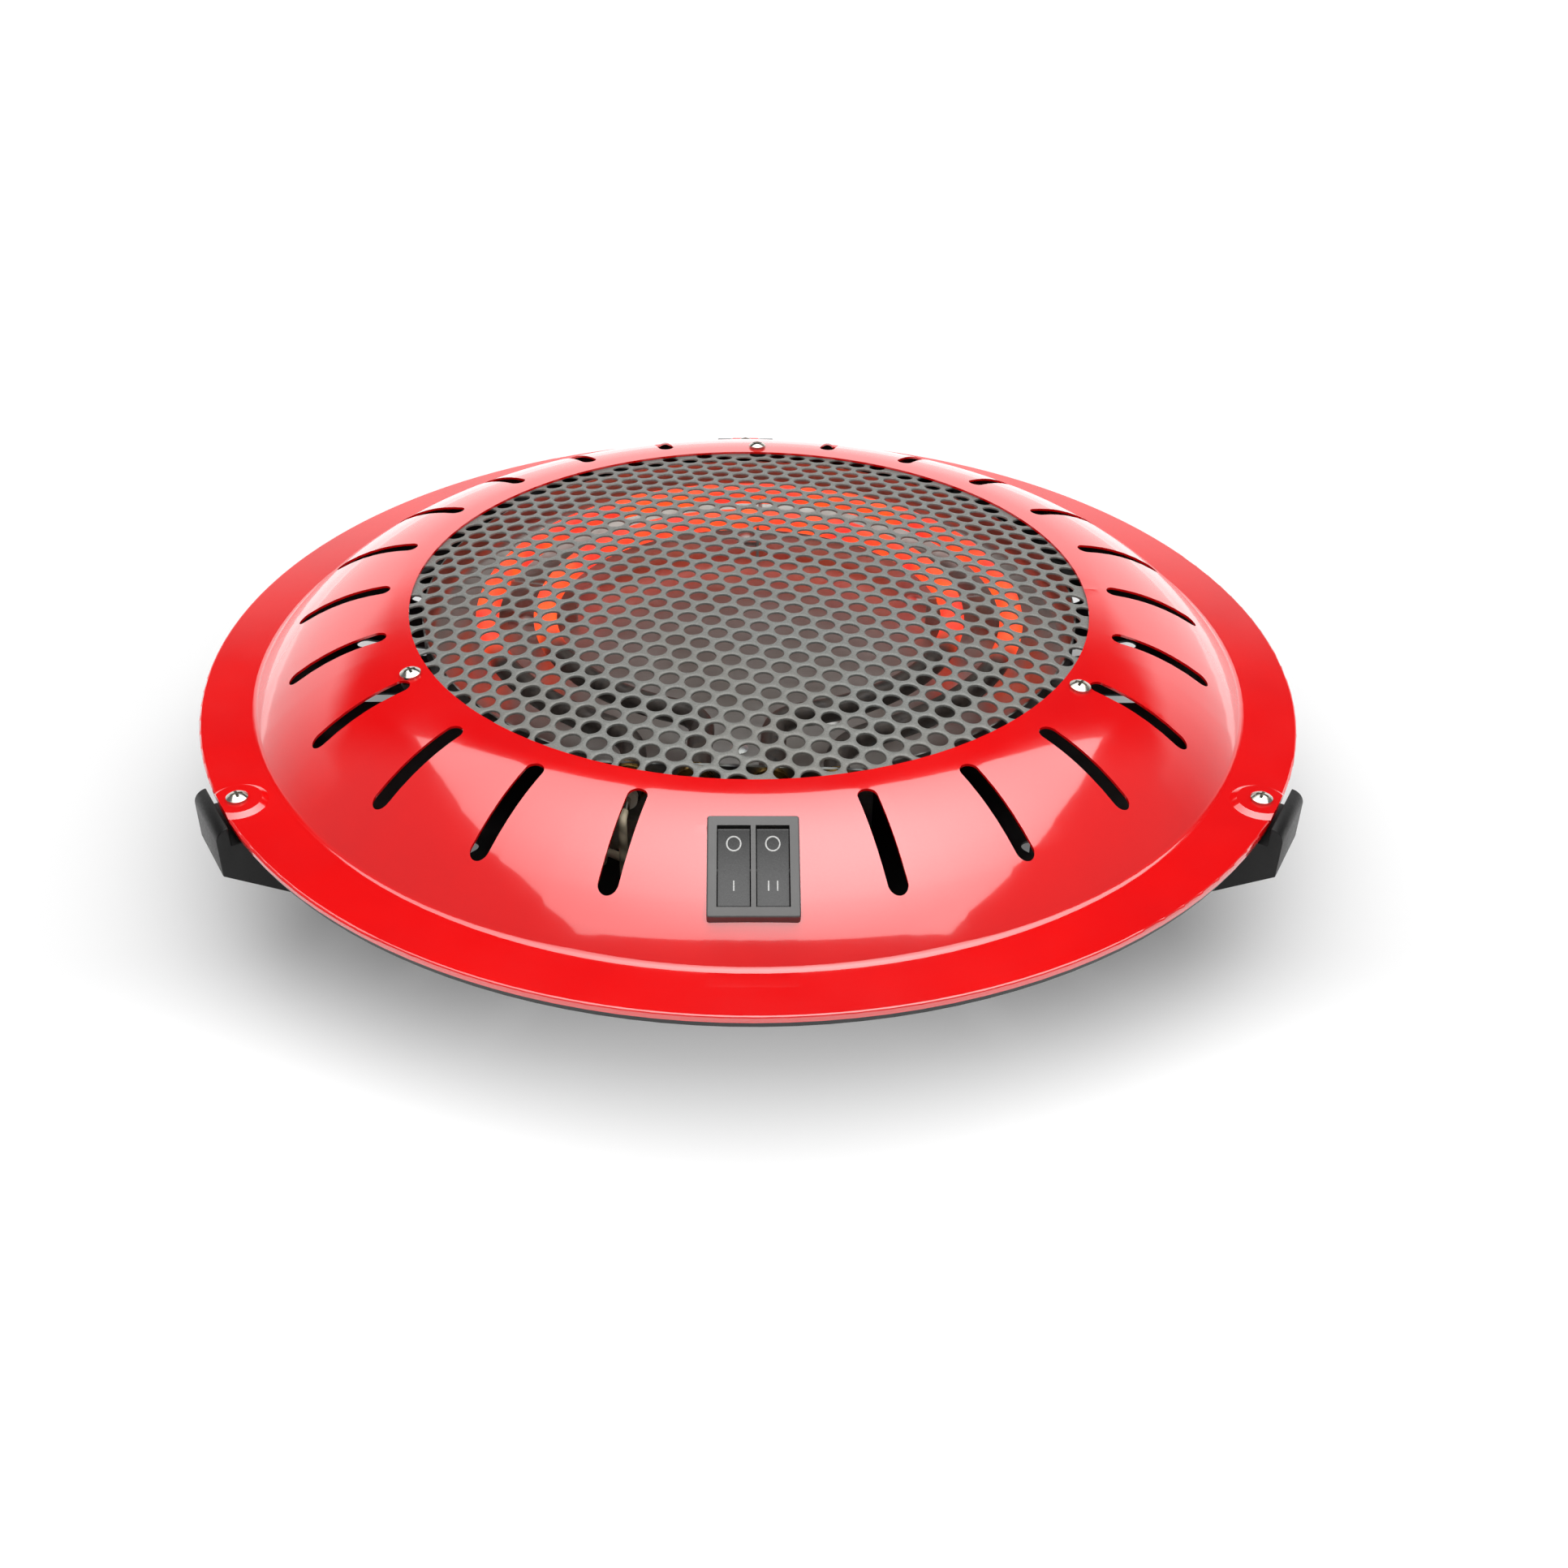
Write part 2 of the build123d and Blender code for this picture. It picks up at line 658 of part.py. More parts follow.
def support_tab_plane(angle):
    """Level plane on the reflector under a support, X outwards."""
    return flat_seat(support_middle_radius, angle + heater_turn, reflector_floor)


with BuildPart() as reflector:
    with BuildSketch(Plane.XZ):
        with BuildLine():
            FilletPolyline((0, reflector_floor), (reflector_flat_radius, reflector_floor),
                           (reflector_wall_radius, reflector_wall_foot),
                           (reflector_wall_radius, reflector_top), radius=list(reflector_bends))
            offset(amount=reflector_sheet, side=Side.RIGHT)
        make_face()
    revolve(axis=Axis.Z)
    with BuildSketch(heater.offset(reflector_floor + 2 * reflector_sheet)):
        with Locations((0, -reflector_wall_radius)):
            Rectangle(2 * bracket_half_width + 4, reflector_wall_radius / 3)
    extrude(amount=reflector_top - reflector_floor, mode=Mode.SUBTRACT)
    with BuildSketch(heater.offset(reflector_underside)):
        with Locations(*bracket_rivets, *cutout_rivets):
            Circle(rivet_radius + running_gap)
    extrude(amount=reflector_sheet, mode=Mode.SUBTRACT)
    for radius, angle in standoff_places:
        with BuildSketch(flat_seat(radius, angle, reflector_underside)):
            Circle(rivet_radius + running_gap)
        extrude(amount=reflector_sheet, mode=Mode.SUBTRACT)
    for angle in support_angles:
        with BuildSketch(support_tab_plane(angle)):
            with Locations((0, support_rivet_offset)):
                Circle(rivet_radius + running_gap)
        extrude(amount=-reflector_sheet, mode=Mode.SUBTRACT)
reflector.part.label = "reflector"
export_step(reflector.part, "parts/reflector.step")

# Hexagonal standoffs riveted to the reflector, and the screws that hold them to the pan
standoff_rivet = rivet_part(reflector_sheet + standoff_rivet_depth)
with BuildPart() as standoffs:
    for radius, angle in standoff_places:
        with BuildSketch(flat_seat(radius, angle, pan_floor_height)):
            RegularPolygon(standoff_across, 6)
        extrude(amount=reflector_underside - pan_floor_height)
        with BuildSketch(flat_seat(radius, angle, pan_floor_height)):
            Circle(screw_shank_radius + running_gap)
        extrude(amount=pan_screw_length, mode=Mode.SUBTRACT)
    with Locations(*[flat_seat(radius, angle, reflector_floor) for radius, angle in standoff_places]):
        add(standoff_rivet)
standoffs.part.label = "standoffs"
export_step(standoffs.part, "parts/standoffs.step")

with BuildPart() as standoff_screws:
    with Locations(*[flat_seat(radius, angle, pan_underside, -1) for radius, angle in standoff_places]):
        add(pan_screw)
standoff_screws.part.label = "standoff_screws"
export_step(standoff_screws.part, "parts/standoff_screws.step")

# Heating elements: a ring with two cold legs that come out forwards
element_sizes = {
    "outer_element": (outer_ring_radius, outer_ring_shift, outer_leg, outer_bend),
    "inner_element": (inner_ring_radius, inner_ring_shift, inner_leg, inner_bend),
}
for element_name, (ring, shift, leg, bend) in element_sizes.items():
    bend_centre = (leg + bend, shift - sqrt((ring + bend) ** 2 - (leg + bend) ** 2))
    joint = (bend_centre[0] * ring / (ring + bend), shift + (bend_centre[1] - shift) * ring / (ring + bend))
    half_turn = (degrees(atan2(joint[1] - bend_centre[1], joint[0] - bend_centre[0])) + 180) / 2
    bend_middle = (bend_centre[0] + bend * cos(radians(half_turn)),
                   bend_centre[1] + bend * sin(radians(half_turn)))
    with BuildPart() as element:
        with BuildLine(heater.offset(element_height)) as element_route:
            Line((leg, -leg_end), (leg, bend_centre[1]))
            ThreePointArc((leg, bend_centre[1]), bend_middle, joint)
            ThreePointArc(joint, (0, shift + ring), (-joint[0], joint[1]))
            ThreePointArc((-joint[0], joint[1]), (-bend_middle[0], bend_middle[1]), (-leg, bend_centre[1]))
            Line((-leg, bend_centre[1]), (-leg, -leg_end))
        with BuildSketch(Plane(origin=heater_point(leg, -leg_end, element_height), z_dir=heater.y_dir)):
            Circle(element_radius)
        sweep(path=element_route.wire())
    element.part.label = element_name
    export_step(element.part, f"parts/{element_name}.step")

# Terminal pins and their ceramic beads at the four cold ends
leg_places = (-outer_leg, -inner_leg, inner_leg, outer_leg)


def leg_plane(x, y):
    """Plane square to an element's leg, facing forwards out of the heater."""
    return Plane(origin=heater_point(x, -y, element_height), x_dir=heater.x_dir, z_dir=-heater.y_dir)


with BuildPart() as element_pins:
    for x in leg_places:
        with BuildSketch(leg_plane(x, leg_end)):
            Circle(pin_radius)
        extrude(amount=pin_length)
element_pins.part.label = "element_pins"
export_step(element_pins.part, "parts/element_pins.step")

with BuildPart() as element_beads:
    for x in leg_places:
        with BuildSketch(leg_plane(x, leg_end)):
            Circle(bead_radius)
            Circle(pin_radius + running_gap, mode=Mode.SUBTRACT)
        extrude(amount=bead_length)
element_beads.part.label = "element_beads"
export_step(element_beads.part, "parts/element_beads.step")

# Flanged bushes that hold the legs in the bracket
with BuildPart() as element_bushes:
    for x in leg_places:
        with BuildSketch(leg_plane(x, bracket_face + bracket_sheet + bush_flange)):
            Circle(bush_radius)
            Circle(element_radius + running_gap, mode=Mode.SUBTRACT)
        extrude(amount=-bush_length)
        with BuildSketch(leg_plane(x, bracket_face + bracket_sheet)):
            Circle(bush_flange_radius)
            Circle(element_radius + running_gap, mode=Mode.SUBTRACT)
        extrude(amount=bush_flange)
element_bushes.part.label = "element_bushes"
export_step(element_bushes.part, "parts/element_bushes.step")

# Bent bracket that carries the bushes at the front of the reflector
with BuildPart() as element_bracket:
    with BuildSketch(Plane(origin=heater_point(0, 0, 0), x_dir=-heater.y_dir, z_dir=-heater.x_dir)):
        with BuildLine():
            Polyline((bracket_front - bracket_foot_length, reflector_underside - bracket_sheet),
                     (bracket_front, reflector_underside - bracket_sheet),
                     (bracket_front, bracket_top), (bracket_face, bracket_top),
                     (bracket_face, reflector_underside),
                     (bracket_front - bracket_foot_length, reflector_underside), close=True)
        make_face()
    extrude(amount=bracket_half_width, both=True)
    for x in leg_places:
        with BuildSketch(leg_plane(x, bracket_face)):
            Circle(bush_radius + running_gap)
        extrude(amount=bracket_sheet, mode=Mode.SUBTRACT)
    with BuildSketch(heater.offset(reflector_underside)):
        with Locations(*bracket_rivets):
            Circle(rivet_radius + running_gap)
    extrude(amount=-bracket_sheet, mode=Mode.SUBTRACT)
element_bracket.part.label = "element_bracket"
export_step(element_bracket.part, "parts/element_bracket.step")

# Saddle supports under the rings
with BuildPart() as element_supports:
    for angle in support_angles:
        with BuildSketch(radial_plane(angle + heater_turn)):
            with BuildLine():
                Polyline((support_inner_radius, reflector_floor),
                         (support_foot_outer_radius, reflector_floor),
                         (support_outer_radius + outer_ring_shift * sin(radians(angle)),
                          reflector_floor + element_radius),
                         (support_outer_radius + outer_ring_shift * sin(radians(angle)), element_height),
                         (support_inner_radius, element_height), close=True)
            make_face()
            with Locations((inner_ring_radius, element_height),
                           (sqrt(outer_ring_radius**2 - (outer_ring_shift * cos(radians(angle))) ** 2)
                            + outer_ring_shift * sin(radians(angle)), element_height)):
                Circle(element_radius + seat_gap, mode=Mode.SUBTRACT)
        extrude(amount=support_sheet)
        with BuildSketch(support_tab_plane(angle)):
            with Locations((0, support_tab_width / 2)):
                Rectangle(support_tab_length, support_tab_width)
            with Locations((0, support_rivet_offset)):
                Circle(rivet_radius + running_gap, mode=Mode.SUBTRACT)
        extrude(amount=support_sheet)
element_supports.part.label = "element_supports"
export_step(element_supports.part, "parts/element_supports.step")

# Rivets of the supports, the bracket and the thermal cut-out
support_rivet = rivet_part(support_sheet + reflector_sheet)
bracket_rivet = rivet_part(reflector_sheet + bracket_sheet)
cutout_rivet = rivet_part(reflector_sheet + cutout_flange)
with BuildPart() as heater_rivets:
    for angle in support_angles:
        tab = support_tab_plane(angle).offset(support_sheet)
        with Locations(Plane(origin=tab.from_local_coords(Vector(0, support_rivet_offset, 0)),
                             x_dir=tab.x_dir, z_dir=tab.z_dir)):
            add(support_rivet)
    with Locations(*[Plane(origin=heater_point(x, y, reflector_floor)) for x, y in bracket_rivets]):
        add(bracket_rivet)
    with Locations(*[Plane(origin=heater_point(x, y, reflector_floor)) for x, y in cutout_rivets]):
        add(cutout_rivet)
heater_rivets.part.label = "heater_rivets"
export_step(heater_rivets.part, "parts/heater_rivets.step")

# Thermal cut-out riveted under the reflector, its two tabs hanging down
cutout_body_top = reflector_underside - cutout_flange
with BuildPart() as thermal_cutout:
    with BuildSketch(heater.offset(cutout_body_top)):
        with Locations(cutout_place):
            SlotOverall(cutout_flange_length, cutout_flange_width)
        with Locations(*cutout_rivets):
            Circle(rivet_radius + running_gap, mode=Mode.SUBTRACT)
    extrude(amount=cutout_flange)
    with BuildSketch(heater.offset(cutout_body_top)):
        with Locations(cutout_place):
            Circle(cutout_radius)
    extrude(amount=-cutout_height)
    fillet(thermal_cutout.faces().sort_by(Axis.Z)[0].edges(), cutout_flange)
    with BuildSketch(heater.offset(cutout_body_top - cutout_height)):
        with Locations(cutout_place):
            with Locations((-tab_offset, 0), (tab_offset, 0)):
                Rectangle(tab_thickness, tab_width)
    extrude(amount=-tab_length)
thermal_cutout.part.label = "thermal_cutout"
export_step(thermal_cutout.part, "parts/thermal_cutout.step")

# Terminal block on the floor of the pan, with clamping screws over its wire bores
block_length, block_breadth, block_height = block_size
block_poles = [block_place[0] + k * block_pole_pitch for k in (-1, 0, 1)]
block_screw_places = [(x, block_place[1] + side * block_screw_offset)
                      for x in block_poles for side in (-1, 1)]
block_top = pan_floor_height + block_height
lead_height = pan_floor_height + block_bore_height
block_front = block_place[1] - block_breadth / 2
block_back = block_place[1] + block_breadth / 2
with BuildPart() as terminal_block:
    with BuildSketch(Plane.XY.offset(pan_floor_height)):
        with Locations(block_place):
            RectangleRounded(block_length, block_breadth, block_corner)
    extrude(amount=block_height)
    with BuildSketch(Plane.XY.offset(block_top)):
        with Locations(*[(x + block_pole_pitch / 2, block_place[1]) for x in block_poles[:2]]):
            Rectangle(block_groove, block_breadth)
    extrude(amount=-block_height / 2, mode=Mode.SUBTRACT)
    with BuildSketch(Plane.XY.offset(block_top)):
        with Locations(*block_screw_places):
            Circle(block_screw_radius + running_gap)
    extrude(amount=-block_screw_depth, mode=Mode.SUBTRACT)
    for x in block_poles:
        for y, facing in ((block_front, 1), (block_back, -1)):
            with BuildSketch(Plane(origin=(x, y, lead_height), z_dir=(0, facing, 0))):
                Circle(lead_radius + running_gap)
            extrude(amount=lead_insertion, mode=Mode.SUBTRACT)
terminal_block.part.label = "terminal_block"
export_step(terminal_block.part, "parts/terminal_block.step")

with BuildPart() as block_screws:
    with BuildSketch(Plane.XY.offset(block_top - block_screw_depth)):
        with Locations(*block_screw_places):
            Circle(block_screw_radius)
    extrude(amount=block_screw_length)
    with BuildSketch(Plane.XY.offset(block_top - block_screw_depth + block_screw_length)):
        with Locations(*block_screw_places):
            Rectangle(recess_width, 2 * block_screw_radius)
    extrude(amount=-recess_width, mode=Mode.SUBTRACT)
block_screws.part.label = "block_screws"
export_step(block_screws.part, "parts/block_screws.step")

# Cord gland through the sloping wall of the pan, and its nut
with BuildPart() as cord_gland:
    with BuildSketch(gland_plane.offset(sheet)):
        Circle(gland_flange_radius)
    extrude(amount=gland_flange)
    fillet(cord_gland.faces().sort_by(Axis(gland_plane.origin, gland_plane.z_dir))[-1].edges(),
           gland_edge_round)
    with BuildSketch(gland_plane.offset(sheet)):
        Circle(gland_body_radius)
    extrude(amount=-sheet - gland_inner_length)
    with BuildSketch(gland_plane.offset(sheet + gland_flange)):
        Circle(gland_bore_radius)
    extrude(amount=-sheet - gland_flange - gland_inner_length, mode=Mode.SUBTRACT)
cord_gland.part.label = "cord_gland"
export_step(cord_gland.part, "parts/cord_gland.step")

with BuildPart() as gland_nut:
    with BuildSketch(gland_plane.offset(-gland_nut_gap)):
        RegularPolygon(gland_nut_radius, 6)
        Circle(gland_body_radius + running_gap, mode=Mode.SUBTRACT)
    extrude(amount=-gland_nut_height)
gland_nut.part.label = "gland_nut"
export_step(gland_nut.part, "parts/gland_nut.step")


def tilted_plane(u, depth, tilt):
    """Plane across the switch at a pivot: X runs up the slope and turns out of the face by the tilt."""
    along = switch_plane.y_dir * cos(radians(tilt)) + switch_plane.z_dir * sin(radians(tilt))
    return Plane(origin=switch_point(u, 0, -depth), x_dir=along, z_dir=switch_plane.x_dir)


def pivot_axis_plane(u, depth, tilt):
    """Plane square to the stem of a rocker, with its origin on the rocker's pivot."""
    across = tilted_plane(u, depth, tilt)
    return Plane(origin=across.origin, x_dir=switch_plane.x_dir, z_dir=across.y_dir)


# Housing of the switch: a contoured bezel, a body with two bays and latches under the sheet
contact_top = lever_pivot_depth + contact_gap + lever_half_length * sin(radians(lever_tilt)) \
    - (lever_pivot_depth - lever_top_depth - lever_thickness) * cos(radians(lever_tilt))
body_floor_depth = body_depth - body_floor
blade_places = [(u, v) for u in bay_sides.values() for v in (0, contact_offset)]
with BuildPart() as switch_housing:
    with BuildSketch(switch_plane.offset(bezel_height)):
        RectangleRounded(bezel_width, bezel_length, bezel_round)
    extrude(amount=-bezel_height - bezel_skirt)
    fillet(switch_housing.faces().sort_by(Axis(switch_plane.origin, switch_plane.z_dir))[-1].edges(),
           bezel_edge_round)
    with BuildSketch(Plane.XZ):
        with BuildLine():
            dome_arc(crease_radius, opening_radius, -running_gap)
            Polyline((opening_radius, dome_height(opening_radius, -running_gap)),
                     (opening_radius, flange_height), (crease_radius, flange_height),
                     (crease_radius, dome_height(crease_radius, -running_gap)))
        make_face()
    revolve(axis=Axis.Z, mode=Mode.SUBTRACT)
    with BuildSketch(switch_plane.offset(bezel_height / 2)):
        Rectangle(body_width, body_length)
    extrude(amount=-body_depth - bezel_height / 2)
    with BuildSketch(switch_plane.offset(bezel_height)):
        with Locations(*[(u, 0) for u in bay_sides.values()]):
            Rectangle(bay_width, window_length)
    extrude(amount=-bezel_height - body_floor_depth, mode=Mode.SUBTRACT)
    with BuildSketch(switch_plane.offset(-body_floor_depth)):
        with Locations(*blade_places):
            Rectangle(blade_width + 2 * running_gap, blade_thickness + 2 * running_gap)
    extrude(amount=-body_floor, mode=Mode.SUBTRACT)
    for u in bay_sides.values():
        with BuildSketch(tilted_plane(u, pivot_depth, 0)):
            Circle(pivot_radius + running_gap)
        extrude(amount=bay_width / 2 + pivot_hole_depth, both=True, mode=Mode.SUBTRACT)
    with BuildSketch(Plane(origin=switch_plane.origin, x_dir=switch_plane.x_dir, z_dir=-switch_plane.y_dir)):
        for side in (-1, 1):
            with BuildLine():
                Polyline((side * body_width / 2, -latch_drop),
                         (side * (body_width / 2 + latch_reach), -latch_drop),
                         (side * body_width / 2, -latch_drop - latch_height), close=True)
            make_face()
    extrude(amount=latch_width / 2, both=True)
switch_housing.part.label = "switch_housing"
export_step(switch_housing.part, "parts/switch_housing.step")

# Rockers at rest with their lower ends pressed, and the sprung plungers in their stems
for side_name, u in bay_sides.items():
    with BuildPart() as rocker:
        with BuildSketch(tilted_plane(u, pivot_depth, rocker_tilt)) as rocker_section:
            edge_level = rocker_edge_level + pivot_depth
            with BuildLine():
                ThreePointArc((-rocker_half_length, edge_level), (0, edge_level - rocker_hollow),
                              (rocker_half_length, edge_level))
                Polyline((rocker_half_length, edge_level), (rocker_foot_length, rocker_foot_level),
                         (stem_shoulder, -rocker_belly), (stem_half_width, -rocker_belly),
                         (stem_half_width, pivot_depth - stem_end),
                         (-stem_half_width, pivot_depth - stem_end),
                         (-stem_half_width, -rocker_belly), (-stem_shoulder, -rocker_belly),
                         (-rocker_foot_length, rocker_foot_level), (-rocker_half_length, edge_level))
            make_face()
            fillet(rocker_section.vertices().sort_by(Axis.Y)[-2:], rocker_edge_round)
        extrude(amount=rocker_width / 2, both=True)
        with BuildSketch(tilted_plane(u, pivot_depth, rocker_tilt)):
            Circle(pivot_radius)
        extrude(amount=rocker_width / 2 + pivot_reach, both=True)
        with BuildSketch(pivot_axis_plane(u, pivot_depth, rocker_tilt).offset(pivot_depth - stem_end)):
            Circle(plunger_radius + running_gap)
        extrude(amount=plunger_bore_depth, mode=Mode.SUBTRACT)
    rocker.part.label = f"rocker_{side_name}"
    export_step(rocker.part, f"parts/rocker_{side_name}.step")

    with BuildPart() as plunger:
        stem_plane = pivot_axis_plane(u, pivot_depth, rocker_tilt)
        with BuildSketch(stem_plane.offset(pivot_depth - plunger_tip_drop)):
            Circle(plunger_radius)
        extrude(amount=plunger_tip_drop - stem_end + plunger_bore_depth - plunger_end_gap)
        fillet(plunger.faces().sort_by(Axis(switch_plane.origin, switch_plane.z_dir))[0].edges(),
               plunger_tip_round)
    plunger.part.label = f"plunger_{side_name}"
    export_step(plunger.part, f"parts/plunger_{side_name}.step")

    with BuildPart() as lever:
        with BuildSketch(tilted_plane(u, lever_pivot_depth, -lever_tilt)):
            with Locations((0, lever_pivot_depth - lever_top_depth - lever_thickness / 2)):
                Rectangle(2 * lever_half_length, lever_thickness)
            Circle(lever_knuckle_radius)
        extrude(amount=lever_width / 2, both=True)
    lever.part.label = f"contact_lever_{side_name}"
    export_step(lever.part, f"parts/contact_lever_{side_name}.step")

# Fixed metalwork of the switch: fulcrums joined by a bridge, and the contact studs
with BuildPart() as switch_fulcrums:
    for u in bay_sides.values():
        with BuildSketch(tilted_plane(u, lever_pivot_depth, 0)):
            with Locations((0, -(body_floor_depth - lever_pivot_depth) / 2)):
                Rectangle(fulcrum_length, body_floor_depth - lever_pivot_depth)
            Circle(lever_knuckle_radius + contact_gap, mode=Mode.SUBTRACT)
        extrude(amount=lever_width / 2, both=True)
        with BuildSketch(switch_plane.offset(-body_floor_depth)):
            with Locations((u, 0)):
                Rectangle(blade_width, blade_thickness)
        extrude(amount=body_floor_depth - blade_end)
    with BuildSketch(switch_plane.offset(-body_depth - seat_gap)):
        Rectangle(2 * bay_offset, blade_thickness)
    extrude(amount=-bridge_depth)
switch_fulcrums.part.label = "switch_fulcrums"
export_step(switch_fulcrums.part, "parts/switch_fulcrums.step")

with BuildPart() as switch_contacts:
    for u in bay_sides.values():
        with BuildSketch(switch_plane.offset(-body_floor_depth)):
            with Locations((u, contact_offset)):
                Circle(contact_foot_radius)
        extrude(amount=blade_thickness)
        with BuildSketch(switch_plane.offset(-body_floor_depth)):
            with Locations((u, contact_offset)):
                Circle(contact_radius)
        extrude(amount=body_floor_depth - contact_top)
        with BuildSketch(switch_plane.offset(-body_floor_depth)):
            with Locations((u, contact_offset)):
                Rectangle(blade_width, blade_thickness)
        extrude(amount=body_floor_depth - blade_end)
switch_contacts.part.label = "switch_contacts"
export_step(switch_contacts.part, "parts/switch_contacts.step")

# Insulated leads between the element pins, the switch, the thermal cut-out and the terminal block
pin_end = leg_end + pin_length
lead_floor = pan_floor_height + lead_floor_gap
lead_shelf = lead_floor + lead_level_step
lead_deck = lead_shelf + lead_level_step
block_entry = block_front + lead_insertion / 2
block_exit = block_back - lead_insertion / 2


def pin_points(x):
    """First points of a lead that leaves a terminal pin forwards."""
    return [heater_point(x, -pin_end, element_height), heater_point(x, -pin_end - lead_start, element_height)]


def blade_points(u, v):
    """First points of a lead that leaves the end of a switch blade."""
    return [switch_point(u, v, -blade_end), switch_point(u, v, -blade_end - lead_start)]


def tab_points(side):
    """First points of a lead that leaves a tab of the thermal cut-out downwards."""
    x, y = cutout_place[0] + side * tab_offset, cutout_place[1]
    tab_end = cutout_body_top - cutout_height - tab_length
    return [heater_point(x, y, tab_end), heater_point(x, y, lead_floor)]


def block_points(pole, end, run):
    """First points of a lead that leaves a pole of the terminal block along Y."""
    return [Vector(block_poles[pole], end, lead_height), Vector(block_poles[pole], end + run, lead_height)]


front_run = -pin_end - lead_start
outer_left_pin, outer_right_pin = pin_points(-outer_leg), pin_points(outer_leg)
left_contact = blade_points(-bay_offset, contact_offset)
right_contact = blade_points(bay_offset, contact_offset)
side_top, side_bottom = element_height - lead_start, lead_shelf + lead_start
lead_routes = {
    "lead_outer_live": [
        *outer_left_pin,
        Vector(outer_left_pin[1].X, outer_left_pin[1].Y, lead_shelf),
        *reversed(left_contact),
    ],
    "lead_inner_live": [
        *pin_points(inner_leg),
        Vector(inner_lead_side, front_run, side_top),
        Vector(inner_lead_side, front_run, side_bottom),
        *reversed(right_contact),
    ],
    "lead_outer_return": [
        *outer_right_pin,
        Vector(outer_right_pin[1].X, outer_right_pin[1].Y, lead_deck),
        Vector(outer_leg, front_run + outer_leg / 2, lead_shelf),
        *reversed(block_points(2, block_entry, -lead_block_run)),
    ],
    "lead_inner_return": [
        *pin_points(-inner_leg),
        Vector(-inner_lead_side, front_run, side_top),
        Vector(-inner_lead_side, front_run, lead_deck),
        Vector(block_poles[1], front_run + inner_lead_side, lead_deck),
        *reversed(block_points(1, block_entry, -lead_block_run)),
    ],
    "lead_feed": [
        *block_points(0, block_exit, lead_block_run),
        *reversed(tab_points(-1)),
    ],
    "lead_common": [
        *tab_points(1),
        Vector(inner_lead_side + lead_start, front_run + inner_lead_side, lead_floor),
        *reversed(blade_points(bay_offset, 0)),
    ],
}
for lead_name, points in lead_routes.items():
    with BuildPart() as lead:
        with BuildLine() as lead_route:
            FilletPolyline(*points, radius=corner_radii(points))
        with BuildSketch(Plane(origin=points[0], z_dir=points[1] - points[0])):
            Circle(lead_radius)
        sweep(path=lead_route.wire())
    lead.part.label = lead_name
    export_step(lead.part, f"parts/{lead_name}.step")
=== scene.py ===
"""Looks of a low round electric brazier: a domed and slotted red cover, a perforated grille over two
ring elements, a double rocker switch and three moulded feet. Everything is in metres, Z up."""

import logging
import math
from abc import ABC, abstractmethod
from dataclasses import dataclass, field
from enum import Enum

import bpy
import numpy as np
from mathutils import Matrix, Vector


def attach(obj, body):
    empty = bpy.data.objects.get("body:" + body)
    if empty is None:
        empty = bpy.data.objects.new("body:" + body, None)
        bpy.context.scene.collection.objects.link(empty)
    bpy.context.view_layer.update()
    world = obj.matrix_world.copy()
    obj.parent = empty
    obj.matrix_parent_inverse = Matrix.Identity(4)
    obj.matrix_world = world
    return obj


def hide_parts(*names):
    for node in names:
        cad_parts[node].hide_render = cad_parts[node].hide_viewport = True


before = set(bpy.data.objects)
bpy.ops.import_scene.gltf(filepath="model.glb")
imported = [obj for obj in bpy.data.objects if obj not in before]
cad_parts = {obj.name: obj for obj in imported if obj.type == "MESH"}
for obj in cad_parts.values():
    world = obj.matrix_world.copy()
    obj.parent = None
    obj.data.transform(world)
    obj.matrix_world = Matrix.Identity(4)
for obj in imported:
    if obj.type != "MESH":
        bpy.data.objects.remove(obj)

LOG = logging.getLogger("brazier")
MM = 0.001
# the sockets of a Map Range node that take its two ranges
RANGES = ("From Min", "From Max", "To Min", "To Max")


class Body(Enum):
    """The moving bodies of the brazier."""

    HEATER = "heater"
    ROCKER_LEFT = "rocker_left"
    ROCKER_RIGHT = "rocker_right"


class Mark(Enum):
    """The signs on the rockers, as the number of bars, where none is the ring for off."""

    OFF = 0
    LOW = 1
    HIGH = 2


# helpers


def linear(code: str) -> tuple[float, float, float, float]:
    """Turn an sRGB colour into a linear one.

    Args:
        code: six hexadecimal digits with a leading hash sign.

    Returns:
        Red, green, blue and an alpha of 1.
    """
    parts = [int(code[i : i + 2], 16) / 255 for i in (1, 3, 5)]
    red, green, blue = (c / 12.92 if c <= 0.04045 else ((c + 0.055) / 1.055) ** 2.4 for c in parts)
    return red, green, blue, 1.0


def add_node(
    tree: bpy.types.NodeTree,
    kind: str,
    settings: dict | None = None,
    inputs: dict | None = None,
    links: dict | None = None,
) -> bpy.types.Node:
    """Add a node with its settings and links.

    Args:
        tree: the node tree that takes the node.
        kind: the node's type name.
        settings: attribute values of the node.
        inputs: constants for its input sockets, by name or place.
        links: output sockets to join to its input sockets, by name or place.

    Returns:
        The new node.
    """
    node = tree.nodes.new(kind)
    for key, value in (settings or {}).items():
        setattr(node, key, value)
    for key, value in (inputs or {}).items():
        node.inputs[key].default_value = value
    for key, source in (links or {}).items():
        tree.links.new(source, node.inputs[key])
    return node


def per_metre(size_mm: float) -> float:
    """Scale of a noise whose features are a size in millimetres."""
    return 1.0 / (size_mm * MM)


def bands_per_metre(size_mm: float) -> float:
    """Scale of a wave, which turns 20 radians a unit, whose bands are a size in millimetres apart."""
    return math.tau / 20.0 * per_metre(size_mm)


